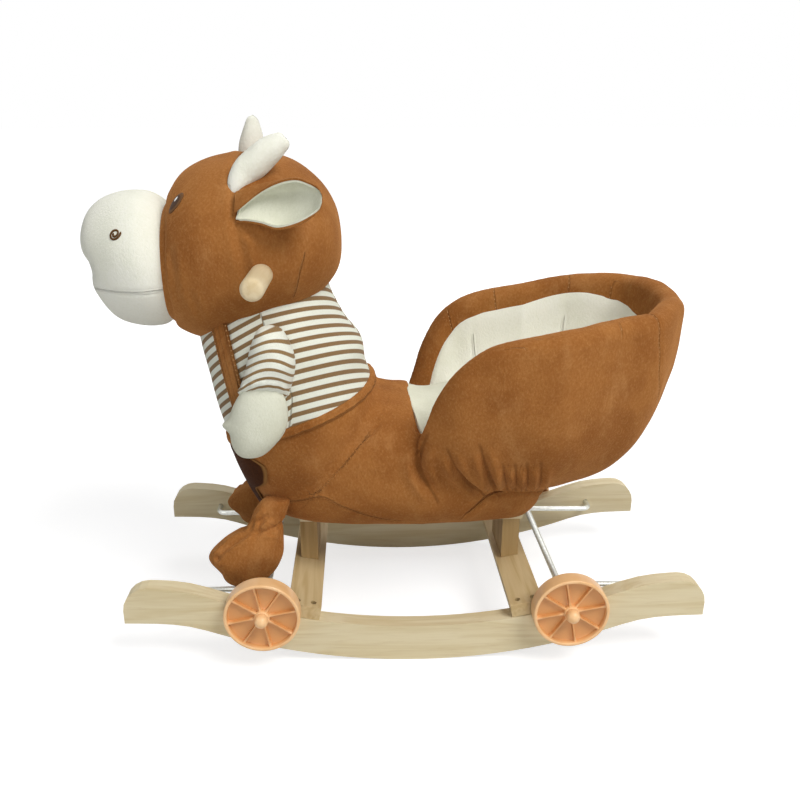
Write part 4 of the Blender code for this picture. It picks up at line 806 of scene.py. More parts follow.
def cut_in_two(form, point, normal):
    """What lies behind a plane and what lies before it, each half of a closed form closed by a flat face."""
    halves = []
    draft = draft_mesh(*form)
    for side in (1, -1):
        bm = bmesh.new()
        bm.from_mesh(draft)
        everything = bm.verts[:] + bm.edges[:] + bm.faces[:]
        plane = {"plane_co": Vector(point), "plane_no": Vector(normal) * side}
        done = bmesh.ops.bisect_plane(bm, geom=everything, dist=1e-6, clear_outer=True, **plane)
        bmesh.ops.holes_fill(bm, edges=[e for e in done["geom_cut"] if isinstance(e, bmesh.types.BMEdge)])
        bmesh.ops.triangulate(bm, faces=[f for f in bm.faces if len(f.verts) > 4])
        bm.verts.index_update()
        faces = [[[v.index for v in f.verts] for f in bm.faces if len(f.verts) == n] for n in (4, 3)]
        points = np.array([v.co for v in bm.verts], float)
        bm.free()
        halves.append((points, [np.array(rows, int).reshape(-1, n) for rows, n in zip(faces, (4, 3))]))
    bpy.data.meshes.remove(draft)
    return halves


def lower_body_top(x, y):
    """Height of the lower body's upper face over a place."""
    bottom, top, half = table_columns(LOWER_BODY, x)
    share = np.minimum(np.abs(y) / np.maximum(half, 1e-4), 0.97)
    return (bottom + top) / 2 + (top - bottom) / 2 * (1 - share**2.5) ** (1 / 2.5)


def cushion_face(x, share):
    """Points of the pad's upper face: over the saddle in front, a crowned cushion in the seat."""
    crown, half, drop, centre = table_columns(CUSHION, x)
    flat = soft_step(x, SADDLE_FRONT_X, SADDLE_FRONT_X + SADDLE_LENGTH)
    half = SADDLE_HALF_WIDTH + (half - SADDLE_HALF_WIDTH) * flat
    slant = SADDLE_SLANT * np.abs(share) ** 3 * (1 - flat)
    saddle = lower_body_top(x + slant, share * half) + 0.0012
    pad = crown - drop * np.abs(share) ** 2.6
    return np.stack((x + slant, centre + share * half, saddle + (pad - saddle) * flat), -1)


def sunk_under_pad(points):
    """The body's skin dips under the seat pad, so that only the pad shows there."""
    x, y, z = points.T
    share = np.clip(y / SADDLE_HALF_WIDTH, -1, 1)
    face = cushion_face(np.clip(x - SADDLE_SLANT * np.abs(share) ** 3, SADDLE_FRONT_X, CUSHION[-1][0]), share)
    inside = soft_step(x, SADDLE_FRONT_X + 0.001, SADDLE_FRONT_X + 0.006) * (1 - soft_step(x, 0.20, 0.21))
    inside = inside * (1 - soft_step(np.abs(y), 0.058, 0.066))
    over = np.maximum(z - (face[:, 2] - 0.006), 0)
    points[:, 2] = z - over * inside * (z < 0.30)
    return points


def shape_body():
    """Torso, lower body and bucket under one skin, which is then drawn in along its seams and gathers."""
    torso = swept(TORSO, 70, 90, TORSO_POWER, upright=True)
    lower = swept(LOWER_BODY, 60, 80, 2.5, upright=False)
    points, faces = one_skin([torso, lower, bucket_form(120, 20)], SKIN_QUAD)
    corner = soft_step(points[:, 0], -0.05, -0.01) * (1 - soft_step(points[:, 2], 0.23, 0.27))
    points = relaxed(points, faces, 0.35 + 0.25 * corner, 14)
    push = 0.0010 + 0.0006 * waves(points, 0.07, 3) + 0.0003 * waves(points, 0.03, 4)
    points, faces = pushed((points, faces), push + creases(points, BODY_CREASES))
    return sunk_under_pad(points), faces


def body_marks(form):
    """The body's seams, the folds of the gathers for their painted shade, and the lines that are stitched from
    outside.
    """
    return {**sewn("seam", form, SEAMS), **sewn("stitch", form, STITCHED, 0.005), **sewn("fold", form, FOLD_SHADE_PATHS)}


def make_hem():
    """The waistband: a folded strip of plush that follows the hem, standing a little proud of the overalls.

    Each row's height is found by turns with its place on the torso, because the hem's plane leans.
    """
    sides, rows = 180, 9
    turn = 2 * pi * np.arange(sides) / sides
    grid = np.empty((sides, rows, 3))
    for k, share in enumerate(np.linspace(0, 1, rows)):
        z = np.full(sides, 0.25)
        for _ in range(12):
            front, back, half = table_columns(TORSO, z)
            along, across = rounded(turn, TORSO_POWER)
            x = (front + back) / 2 + (back - front) / 2 * along
            z = 0.5 * z + 0.5 * (HEM_POINT[2] + HEM_SLOPE * (x - HEM_POINT[0]) + 0.0012 - HEM_WIDTH * share)
        grid[:, k] = np.stack((x, half * across, z), -1)
    normal = unit(np.cross(np.roll(grid, -1, 0) - np.roll(grid, 1, 0), np.gradient(grid, axis=1)))
    normal *= np.sign((normal * (grid - np.array((-0.125, 0, 0.24)))).sum(-1, keepdims=True))
    t = np.linspace(-1, 1, rows)[None, :, None]
    thick = HEM_THICKNESS * (1 - np.abs(t) ** 4) ** 0.5
    swell = 1 + 0.25 * np.sin(37 * turn + 2 * np.sin(5 * turn))[:, None, None]
    outer = grid + normal * (0.0016 + thick * swell)
    inner = grid - normal * 0.0015
    points = np.concatenate((outer, inner[:, ::-1]), 1).reshape(-1, 3)
    form = points, [grid_faces(sides, 2 * rows, along=True)]
    marks = sewn("seam", form, [grid[:, 6] + normal[:, 6] * HEM_THICKNESS])
    make_piece("overalls_waistband", form, BROWN, slot="brown_plush", marks=marks)


def make_shirt():
    """The torso above the hem, swollen unevenly as stuffing does, and drawn in along its side seams."""
    torso = swept(TORSO, 110, 150, TORSO_POWER, upright=True)
    _, form = cut_in_two(torso, HEM_POINT - HEM_NORMAL * 0.003, HEM_NORMAL)
    push = 0.0005 * waves(form[0], 0.06, 8) + creases(form[0], [(SHIRT_SEAM, 0.0022, 0.0012, 0.3, 0)])
    sewing = {"fill": 0.8, "sharp": 70, "marks": sewn("seam", form, both_sides(SHIRT_SEAM))}
    return make_piece("shirt_cover", pushed(form, push), SHIRT, "toy", ("striped_shirt",), **sewing)


before_seam, behind_seam = cut_in_two(shape_body(), SEAM_POINT, SEAM_NORMAL)
waist, _ = cut_in_two(before_seam, HEM_POINT, HEM_NORMAL)
stuffed = {"fill": 0.85, "sharp": 70}
under_body = ("seat_base", "seat_shell")
make_piece("body_cover", behind_seam, BROWN, "toy", under_body, marks=body_marks(behind_seam), **stuffed)
overalls_cover = make_cover("overalls", waist, BROWN, marks=body_marks(waist), **stuffed)
shirt_cover = make_shirt()
make_hem()


# Seat pad and lining


def make_cushion():
    """The pad: its upper face and an under face below it, joined by a drawn-in round edge."""
    stations = 90
    x = SADDLE_FRONT_X + (CUSHION[-1][0] - SADDLE_FRONT_X) * (1 - np.cos(np.linspace(0, pi, stations))) / 2
    turn = np.linspace(-pi / 2, pi / 2, 60)
    upper = cushion_face(x[:, None] + 0 * turn[None, :], np.sin(turn)[None, :] + 0 * x[:, None])
    share = np.abs(np.sin(turn))[None, :, None]
    depth = 0.014 + 0.016 * (1 - share**3)
    lower = upper - np.concatenate((0 * depth, 0 * depth, depth), -1)
    middle = (upper + lower) / 2
    end = np.minimum(np.arange(stations), np.arange(stations)[::-1])[:, None, None] / 4
    edge = (1 - share**8) ** 0.5 * np.sqrt(1 - (1 - np.minimum(end, 1)) ** 2)
    upper, lower = middle + (upper - middle) * edge, middle + (lower - middle) * edge
    form = closed_tube(np.concatenate((upper, lower[:, ::-1][:, 1:-1]), 1))
    push = 0.0006 * waves(form[0], 0.06, 21) + 0.0004 * waves(form[0], 0.025, 22)
    # The pad takes the darker cream plush, as painted shade inside the seat.
    make_piece("seat_pad_cover", pushed(form, push), SHADED_CREAM, "toy", ("seat_cushion",), fill=0.8, sharp=70)


LINING_SEAMS = np.radians((-122, -62, 0, 62, 122))
LINING_SWEEP = radians(147)
LINING_FOOT_Z = 0.2160
# Angle from the back and how far the lining stops below the crest
LINING_EDGE = by_degrees(
    (0, 0.045), (25, 0.034), (40, 0.024), (60, 0.019), (90, 0.021), (120, 0.020), (147, 0.014)
)


def make_lining():
    """The bucket's inner cloth: its wall face moved inwards, swollen between seams, with a round upper edge."""
    rows = 40
    angle = np.linspace(-LINING_SWEEP, LINING_SWEEP, 220)
    crest, radius, power = [v[:, None] for v in seat_rim(angle)]
    t = np.linspace(0.40, 1.0, rows)[None, :] * pi / 2
    top = crest - read_table(LINING_EDGE, np.abs(angle))
    height = SEAT_FLOOR_Z + (top - SEAT_FLOOR_Z) * (1 - np.cos(t) ** (2 / power))
    gap = np.min(np.abs(angle[:, None] - LINING_SEAMS), 1)[:, None]
    swell = 0.0016 * (1 - bell(gap, 0, 0.035)) * np.sin(np.linspace(0, pi, rows))[None, :] ** 0.5
    edge = np.sqrt(1 - np.clip((np.arange(rows)[None, :] - 35) / 4, 0, 1) ** 2)
    wall = (radius - SEAT_WALL) * np.sin(t) ** (2 / power)
    front = wall - 0.0015 - (0.0030 + swell) * edge
    reach = np.hstack((front, (wall + 0.0030)[:, ::-1]))
    level = np.maximum(np.hstack((height, height[:, ::-1] - 0.001)), LINING_FOOT_Z)
    rings = seat_points(angle, reach, level)
    form = closed_tube(rings)
    seams = [rings[np.argmin(np.abs(angle - place)), 4:36:4] for place in LINING_SEAMS]
    make_cover("seat_lining", form, CREAM, fill=0.6, sharp=70, marks=sewn("seam", form, seams))


make_cushion()
make_lining()


# Head, muzzle, horns, ears, eyes and nostrils

# Place along X, bottom, top, half width
HEAD = tenths(
    (-2350, 3800, 3800, 0), (-2335, 3280, 4260, 540), (-2300, 3185, 4400, 640), (-2180, 3095, 4595, 760),
    (-1950, 3045, 4735, 860), (-1750, 3080, 4790, 878), (-1550, 3150, 4808, 880),
    (-1350, 3240, 4785, 865), (-1150, 3320, 4725, 830), (-900, 3480, 4545, 690), (-760, 3640, 4335, 480),
    (-695, 3810, 4080, 200), (-690, 3930, 3930, 0)
)
MUZZLE = tenths(
    (-3162, 3985, 3985, 0), (-3158, 3900, 4070, 90), (-3125, 3720, 4185, 230), (-3035, 3490, 4320, 400),
    (-2860, 3240, 4420, 550), (-2675, 3175, 4455, 650), (-2515, 3165, 4440, 690),
    (-2365, 3200, 4345, 670), (-2165, 3300, 4270, 580), (-2150, 3770, 3770, 0)
)
MUZZLE_SEAM = tenths(
    (-2360, 0, 4400), (-2310, -384, 4355), (-2275, -600, 4200), (-2265, -670, 3990), (-2255, -680, 3700),
    (-2270, -560, 3380), (-2320, -300, 3220), (-2335, 0, 3170)
)
CROWN_SEAM = tenths(
    (-1600, 0, 4830), (-1600, -400, 4700), (-1580, -699, 4456), (-1576, -754, 4377), (-1575, -795, 4306),
    (-1561, -845, 4143), (-1539, -869, 4018), (-1519, -878, 3914), (-1502, -867, 3757),
    (-1494, -810, 3567), (-1466, -700, 3380), (-1450, -500, 3180)
)
NAPE_DART = tenths(
    (-1010, -752, 3930), (-1030, -764, 3820), (-1048, -750, 3710), (-1075, -690, 3540)
)
CHIN_DART = tenths(
    (-2047, -821, 3698), (-2002, -793, 3567), (-1973, -731, 3407), (-1923, -623, 3249)
)
EAR_FOLD = tenths(
    (-1540, -850, 4200), (-1480, -845, 4175), (-1420, -835, 4130), (-1350, -846, 4060)
)
CHEEK_FOLD = tenths(
    (-2190, -731, 4087), (-2175, -785, 3902), (-2180, -785, 3698), (-2190, -690, 3449)
)
LIP_SEAM = tenths(
    (-3060, 0, 3580), (-3000, -250, 3590), (-2933, -416, 3605), (-2784, -549, 3603), (-2597, -638, 3602),
    (-2412, -652, 3613), (-2280, -640, 3620)
)
NOSE_DIP = tenths(
    (-3160, 0, 3760), (-3100, -220, 3760), (-3000, -380, 3780), (-2880, -500, 3800)
)
HEAD_CREASES = [
    # path, then the width, depth, ridge and fade of its crease
    (MUZZLE_SEAM, 0.0036, 0.0028, 0.1, 0),
    (CROWN_SEAM, 0.0040, 0.0016, 0.4, 0.02),
    (NAPE_DART, 0.0030, 0.0010, 0.4, 0.4),
    (CHIN_DART, 0.0028, 0.0014, 0.5, 0.4),
    (EAR_FOLD, 0.0036, 0.0024, 0.8, 0.4),
    (CHEEK_FOLD, 0.0042, 0.0024, 0.6, 0.4),
]
MUZZLE_CREASES = [(MUZZLE_SEAM, 0.0048, 0.0030, 0.1, 0), (NOSE_DIP, 0.0110, 0.0052, 0.1, 0.4)]
# Points along the middle of each horn with its half width there
HORNS = {
    "left": tenths(
        (-1590, -700, 4430, 10), (-1590, -670, 4480, 55), (-1565, -630, 4560, 95),
        (-1510, -590, 4640, 120), (-1420, -570, 4720, 130), (-1310, -560, 4810, 122),
        (-1210, -560, 4880, 96), (-1147, -560, 4915, 64), (-1135, -560, 4925, 0)
    ),
    "right": tenths(
        (-1580, 370, 4480, 15), (-1580, 380, 4560, 85), (-1575, 400, 4660, 118), (-1568, 420, 4780, 128),
        (-1560, 435, 4900, 115), (-1552, 450, 5020, 80), (-1547, 460, 5100, 40), (-1545, 460, 5122, 0)
    ),
}
EYE_PLACE = np.array((-0.2160, 0.062, 0.4415))
EYE_HALF_WIDTH = 0.0150
EYE_HALF_HEIGHT = 0.0108
EYE_LEAN = radians(34)
EYE_SWELL = 0.0011
EYE_DEPTH = 0.0012
NOSTRIL_PLACE = np.array((-0.2694, 0.058, 0.4120))
NOSTRIL_RADIUS = 0.0060
NOSTRIL_TURNS = 1.62


def make_head():
    """Upright ovals along X, swollen a little and drawn in at the muzzle, crown, darts and folds."""
    form = swept(HEAD, 130, 170, 2.1, upright=False)
    push = 0.0006 * waves(form[0], 0.09, 11) + creases(form[0], HEAD_CREASES)
    marks = sewn("seam", form, both_sides(CROWN_SEAM[:4], NAPE_DART))
    return make_cover("head", pushed(form, push), BROWN, fill=0.95, marks=marks)


def make_muzzle():
    """Upright ovals along X, drawn in where they are sewn to the head, at the lips and under the nose."""
    form = swept(MUZZLE, 110, 150, 2.1, upright=False)
    left_lip, right_lip = both_sides(LIP_SEAM)
    lip = np.vstack((right_lip[::-1], left_lip[1:]))
    push = 0.0004 * waves(form[0], 0.07, 12) + creases(form[0], MUZZLE_CREASES)
    push += crease(form[0], lip, 0.0020, 0.0010, 0.3, 0.05)
    return make_cover("muzzle", pushed(form, push), CREAM, fill=0.95, marks=sewn("seam", form, [lip]))


def make_horn(side):
    """A stuffed horn: rings along a bent middle line, a little flatter across than along the head."""
    path = curve_through(HORNS[side], 60)
    form = tube(path[:, :3], np.maximum(path[:, 3], 0.0002), 48, 0.86, (0, 1, 0))
    marks = sewn("seam", form, [path[:, :3] + path[:, 3:] * np.array((0.4, 0, -0.9))])
    make_cover(side + "_horn", pushed(form, 0.0003 * waves(form[0], 0.02, 15)), CREAM, fill=0.95, marks=marks)


EARS = {
    # how each ear is carried over from the left one's rows: a turn about its root, and its length
    "left": (0.0, 1.0),
    "right": (-0.30, 0.95),
}
# The ear's length out of 10000, then the section's corners as height and depth towards the open side:
# lower rim, low back, high back, top fold, upper rim
EAR_ROWS = tenths(
    (0, -130, 20, -90, 0, 70, 0, 110, 20, -60, 45),
    (1200, -135, 30, -100, -10, 85, -15, 135, 25, -10, 70),
    (3000, -165, 35, -135, -50, 100, -70, 165, 10, 80, 70),
    (5000, -215, 40, -165, -80, 110, -120, 185, -10, 150, 60),
    (7200, -190, 35, -140, -75, 105, -100, 185, -10, 175, 45),
    (8800, -135, 20, -95, -45, 80, -60, 140, -5, 130, 25),
    (9700, -80, 0, -50, -10, 45, -15, 85, 0, 80, 5), (10000, -30, 0, -10, -2, 15, -2, 35, 0, 35, 2)
)
EAR_ROOT = np.array((-0.1562, -0.0790, 0.4370))
EAR_TIP = np.array((-0.0822, -0.1040, 0.4450))
EAR_FACE = np.array((-0.10, -0.92, 0.30))


def ear_grid(side, lift, rows=70, columns=56):
    """A leaf folded over at its upper edge: each section runs through its corners, moved by lift inwards."""
    lean, length = EARS[side]
    along = unit(EAR_TIP - EAR_ROOT)
    if lean:
        along = unit(np.array(Matrix.Rotation(lean, 3, Vector(EAR_FACE)) @ Vector(along)))
    face = unit(EAR_FACE - along * (EAR_FACE @ along))
    across = np.cross(along, face)
    across = across * np.sign(across[2])
    share = 1 - (1 - np.linspace(0, 1, rows)) ** 1.2
    corners = read_table(EAR_ROWS, share).reshape(rows, 5, 2)
    slopes = np.gradient(corners, axis=1) * 0.9
    v = np.linspace(0, 4, columns)
    k = np.minimum(v.astype(int), 3)
    t = (v - k)[None, :, None]
    curve = hermite(t, 1, corners[:, k], corners[:, k + 1], slopes[:, k], slopes[:, k + 1])
    step = unit(np.gradient(curve, axis=1))
    curve = curve + np.stack((-step[..., 1], step[..., 0]), -1) * lift
    if lift > 0.0005:
        gathered = 1 - soft_step(share, 0.0, 0.07)[:, None, None]
        curve = curve + gathered * (curve[:, :1] + np.array((0.0015, -0.0010)) - curve)
    reach = np.linalg.norm(EAR_TIP - EAR_ROOT) * length
    grid = EAR_ROOT + along * (share * reach)[:, None, None]
    grid = grid + across * curve[..., :1] + face * curve[..., 1:]
    return grid * np.array((1.0, -1.0, 1.0)) if side == "right" else grid


def make_ear(side):
    """The brown back of the ear and its cream lining, each a thin folded leaf between two lifts."""
    for name, finish, low, high in (
        ("_ear", BROWN_PLAIN, -0.0012, 0.0005),
        # the lining takes the darker cream plush, as painted shade inside the ear
        ("_ear_lining", SHADED_CREAM, 0.0006, 0.0022),
    ):
        form = closed_tube(np.concatenate((ear_grid(side, low), ear_grid(side, high)[:, ::-1]), 1))
        make_cover(side + name, form, finish, fill=0.3, sharp=60)


def make_eye(side, sign, target):
    """A low dome of satin stitch laid on the head: a disc whose rings keep the curve of the head."""
    ring = np.linspace(0.02, 1, 16)[:, None]
    turn = 2 * pi * np.arange(56)[None, :] / 56
    across, along = ring * np.cos(turn), ring * np.sin(turn)
    c, s = cos(EYE_LEAN), sin(EYE_LEAN)
    dx = across * EYE_HALF_WIDTH * c + along * EYE_HALF_HEIGHT * s
    dz = -across * EYE_HALF_WIDTH * s + along * EYE_HALF_HEIGHT * c
    y = sign * EYE_PLACE[1] - sign * 0.4 * dx + 0 * dz
    flat = np.stack((EYE_PLACE[0] + dx, y, EYE_PLACE[2] + dz), -1)
    top = laid_grid(np.concatenate((flat, flat[:, :1]), 1), target, 0.0006)[:, :-1]
    normal = unit(np.array((-0.45, sign, 0.30)))
    shown = top + normal * EYE_SWELL * np.sqrt(np.maximum(1 - ring**2, 0))[..., None]
    hidden = top[::-1] - normal * EYE_DEPTH
    form = closed_tube(np.concatenate((shown, hidden), 0), shown[0].mean(0), hidden[-1].mean(0))
    marks = {
        name: np.concatenate((values.ravel(), values[::-1].ravel(), (0, 0)))
        for name, values in (("across", across), ("along", along))
    }
    make_cover(side + "_eye", form, EYE, marks=marks)


def make_nostril(side, sign, target):
    """A thread stitched in a spiral: it opens out from the middle and ends below."""
    share = np.linspace(0, 1, 90)
    turn = radians(150) + share * NOSTRIL_TURNS * 2 * pi
    radius = NOSTRIL_RADIUS * (0.20 + 0.80 * share**0.8)
    x, z = NOSTRIL_PLACE[0] + radius * np.cos(turn), NOSTRIL_PLACE[2] + radius * np.sin(turn)
    flat = np.stack((x, sign * NOSTRIL_PLACE[1] + 0 * x, z), -1)
    ribbon = np.stack((flat, flat + np.array((0.0, 0.0, 1e-5))), 1)
    path = laid_grid(ribbon, target, 0.0003)[:, 0]
    size = 0.0010 * np.minimum(1, np.minimum(share, 1 - share) / 0.04 + 0.5)
    make_cover(side + "_nostril", tube(path, size, 8, 0.7, (-0.35, sign, 0.2)), THREAD)


head_cover = make_head()
muzzle_cover = make_muzzle()
for side, sign in (("left", -1), ("right", 1)):
    make_horn(side)
    make_ear(side)
    make_eye(side, sign, head_cover)
    make_nostril(side, sign, muzzle_cover)


# Arms, legs, straps and belly patch

# Height, front, back, half width
SLEEVE = tenths(
    (2702, -1410, -1410, 0), (2710, -1560, -1260, 130), (2730, -1622, -1190, 188),
    (2860, -1580, -1130, 200), (3040, -1530, -1100, 195), (3215, -1480, -1140, 170),
    (3335, -1415, -1215, 110), (3365, -1320, -1320, 0)
)
HAND = tenths(
    (2135, -1540, -1540, 0), (2141, -1600, -1480, 60), (2160, -1650, -1410, 115),
    (2240, -1703, -1315, 165), (2358, -1720, -1225, 190), (2465, -1720, -1193, 190),
    (2567, -1700, -1188, 180), (2650, -1660, -1195, 160), (2740, -1600, -1230, 135),
    (2765, -1410, -1410, 0)
)
LEG = tenths(
    (550, -1705, -1705, 0), (560, -1790, -1620, 60), (620, -1920, -1530, 120), (700, -1965, -1430, 170),
    (880, -2085, -1330, 225), (1020, -1962, -1320, 225), (1130, -1800, -1320, 190),
    (1230, -1660, -1320, 145), (1350, -1610, -1275, 130), (1470, -1520, -1240, 105),
    (1490, -1380, -1380, 0)
)
THUMB_Z = 0.2443
CUFF_RISE = 0.75
ARM_MIDDLE_Y = 0.0981
SLEEVE_INNER_Y = 0.0820
HAND_INNER_Y = 0.0866
LEG_MIDDLE_X = -0.145
LEG_PIVOT_Y, LEG_PIVOT_Z = 0.056, 0.1455
LEG_SPLAY = 0.11
ANKLE_GATHERS = 11
LEG_FOLDS = [
    # path on the left leg, then the width, depth and ridge of its fold
    (tenths((-2025, -770, 912), (-1945, -750, 935), (-1874, -745, 1035)), 0.0026, 0.0034, 0.9),
    (tenths((-1905, -745, 990), (-1779, -743, 1110), (-1623, -741, 1220)), 0.0030, 0.0028, 0.9),
    (tenths((-1495, -748, 1200), (-1347, -670, 1121)), 0.0016, 0.0016, 0.6),
    (tenths((-1433, -699, 1373), (-1579, -687, 1258)), 0.0030, 0.0022, 0.9),
]
STRAP_TOP = np.array((-0.1835, 0.0, 0.331))
STRAP_LOW = np.array((-0.1605, 0.0, 0.2245))
STRAP_WIDTH = 0.0178
STRAP_LIFT = 0.002
STRAP_THICKNESS = 0.0026
PATCH_LIFT = 0.002
PATCH_THICKNESS = 0.0024
# Height, and how many degrees the patch reaches round the belly to each side
PATCH_EDGE = [
    (0.1240, 5), (0.1275, 30), (0.1330, 38), (0.1440, 39), (0.1530, 40), (0.1620, 53), (0.1680, 59),
    (0.1860, 63), (0.1925, 57), (0.1955, 43), (0.1970, 5)
]


def make_arm_piece(side, sign, name, rows, finish, inner_y):
    """Level sections about an upright middle, flat where they lie against the shirt.

    The cuff's edge climbs outwards, so heights near it grow with the distance from the arm's middle plane.
    """
    form = swept(rows, 80, 80, 2.05, upright=True)
    x, y, z = form[0].T
    push = 0.0005 * waves(form[0], 0.035, 31)
    near_cuff = soft_step(z, 0.243, 0.268)
    if name == "_sleeve":
        push += 0.0006 * bell(z, 0.2745, 0.004) * np.cos(13 * np.arctan2(y, x + 0.14))
        push -= 0.0009 * bell(z, 0.2785, 0.0013)
        near_cuff = 1 - soft_step(z, 0.278, 0.312)
    points, faces = pushed(form, push)
    if name == "_hand":
        tip = np.exp(-(((z - THUMB_Z) / 0.0052) ** 2) - (y / 0.009) ** 2)
        points[:, 0] -= 0.0066 * tip * (x < -0.150)
    points[:, 2] -= CUFF_RISE * points[:, 1] * near_cuff
    outward = np.maximum(ARM_MIDDLE_Y - points[:, 1], inner_y)
    points = np.stack((points[:, 0], sign * outward, points[:, 2]), 1)
    make_cover(side + name, (points, faces), finish, side + "_arm", fill=0.9)


def make_leg(side, sign):
    """A stuffed leg and foot, gathered into fine pleats above the ankle and folded over the instep."""
    form = swept(LEG, 130, 110, 2.05, upright=True)
    x, y, z = form[0].T
    turn = np.arctan2(y, x - LEG_MIDDLE_X)
    push = 0.0006 * waves(form[0], 0.045, 41)
    pleats = np.cos(ANKLE_GATHERS * turn + 2.2 * np.sin(2 * turn) + 60 * (z - 0.12))
    push += 0.0010 * bell(z, 0.124, 0.012) * pleats
    push -= 0.0024 * bell(z, 0.1215 + 0.15 * (x - LEG_MIDDLE_X), 0.0022)
    points, faces = pushed(form, push)
    middle = LEG_PIVOT_Y + (LEG_PIVOT_Z - points[:, 2]) * LEG_SPLAY
    points = np.stack((points[:, 0], sign * (points[:, 1] + middle), points[:, 2]), 1)
    normals = point_normals(points, outwards(points, faces))
    for path, *sizes in LEG_FOLDS:
        path = path * np.array((1.0, -sign, 1.0))
        points = points + normals * crease(points, path, *sizes, 0.25)[:, None]
    make_cover(side + "_leg", (points, faces), BROWN, side + "_leg", fill=0.9)


def make_strap(side, sign):
    """A band of plush that lies on the shirt, from under the head to the overalls."""
    down = np.linspace(-0.02, 1.06, 60)[:, None]
    across = np.linspace(-0.5, 0.5, 19)[None, :]
    place = STRAP_TOP + (STRAP_LOW - STRAP_TOP) * down[..., None]
    x, z = place[..., 0] + across * STRAP_WIDTH, place[..., 2] + 0 * across
    front, back, half = table_columns(TORSO, z)
    share = np.minimum(np.abs(x - (front + back) / 2) / ((back - front) / 2 + STRAP_LIFT), 1)
    y = sign * (half + STRAP_LIFT) * (1 - share**TORSO_POWER) ** (1 / TORSO_POWER)
    grid = laid_grid(np.stack((x, y, z), -1), shirt_cover, 0.0004)
    form = band(grid, STRAP_THICKNESS, np.array((-0.5, sign, 0.0)))
    marks = sewn("seam", form, [grid[::6, 3], grid[::6, -4]])
    marks.update(sewn("stitch", form, [grid[::6, 2], grid[::6, -3]]))
    make_cover(side + "_strap", form, BROWN, sharp=60, marks=marks)


def make_patch():
    """A dark oval of cloth on the belly's front, wrapped about it, with a painted highlight along its border.
    """
    t = np.linspace(0.001, 0.999, 50)[:, None]
    z = PATCH_EDGE[0][0] + (PATCH_EDGE[-1][0] - PATCH_EDGE[0][0]) * t
    across = np.linspace(-1, 1, 41)
    angle = np.radians(read_table(PATCH_EDGE, z[:, 0])) * across[None, :]
    front, back, half = table_columns(TORSO, z + 0 * angle)
    along, aside = rounded(angle, TORSO_POWER)
    x = (front + back) / 2 - ((back - front) / 2 + PATCH_LIFT) * along
    grid = laid_grid(np.stack((x, (half + PATCH_LIFT) * aside, z + 0 * angle), -1), overalls_cover, 0.0003)
    form = band(grid, PATCH_THICKNESS, np.array((-1.0, 0.0, -0.3)))
    across = np.abs(across)
    # The edge mark places the painted highlight along the patch's border.
    edge = np.maximum(np.concatenate((across, across[::-1][1:-1]))[None, :], np.abs(2 * t - 1) ** 3)
    marks = {"edge": np.concatenate((edge.ravel(), (1.0, 1.0)))}
    make_cover("belly_patch", form, DARK, sharp=60, marks=marks)


for side, sign in (("left", -1), ("right", 1)):
    make_arm_piece(side, sign, "_sleeve", SLEEVE, SLEEVES, SLEEVE_INNER_Y)
    # The hands take the darker cream plush, as painted shade.
    make_arm_piece(side, sign, "_hand", HAND, SHADED_CREAM, HAND_INNER_Y)
    make_leg(side, sign)
    make_strap(side, sign)
make_patch()


# Wheels, axle caps, the bar, and better finishes for the model's own pieces

WHEEL_RIM = 0.0032
WHEEL_WEB = 0.0035
WHEEL_HUB = 0.0072
AXLE_HOLE = 0.0039
WHEEL_RIBS = 8
RIB_WIDTH = 0.0018
RIB_RECESS = 0.0022
CAP_POCKET = 0.0073
BAR_RADIUS = 0.0100
BAR_EDGE = 0.0045
BAR_SHORTER = 0.0025
BAR_LOWER = 0.0016


def turned(profile, sides, middle, poles=None):
    """A profile of places along Y and radii, turned about a line through the middle."""
    place, radius = np.array(profile, float).T
    turn = 2 * pi * np.arange(sides) / sides
    ring = radius[:, None] * np.cos(turn), place[:, None] + 0 * turn, radius[:, None] * np.sin(turn)
    rings = np.stack(ring, -1)
    if poles:
        points, faces = closed_tube(rings, *[(0, y, 0) for y in poles])
    else:
        points, faces = rings.reshape(-1, 3), [grid_faces(len(profile), sides, along=True)]
    return points + middle, faces


def middle_and_halves(name):
    """The middle of a node's box in the toy's own frame, and half its sizes."""
    low, high = np.array(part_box(name))
    return (low + high) / 2 - MIDDLE, (high - low) / 2


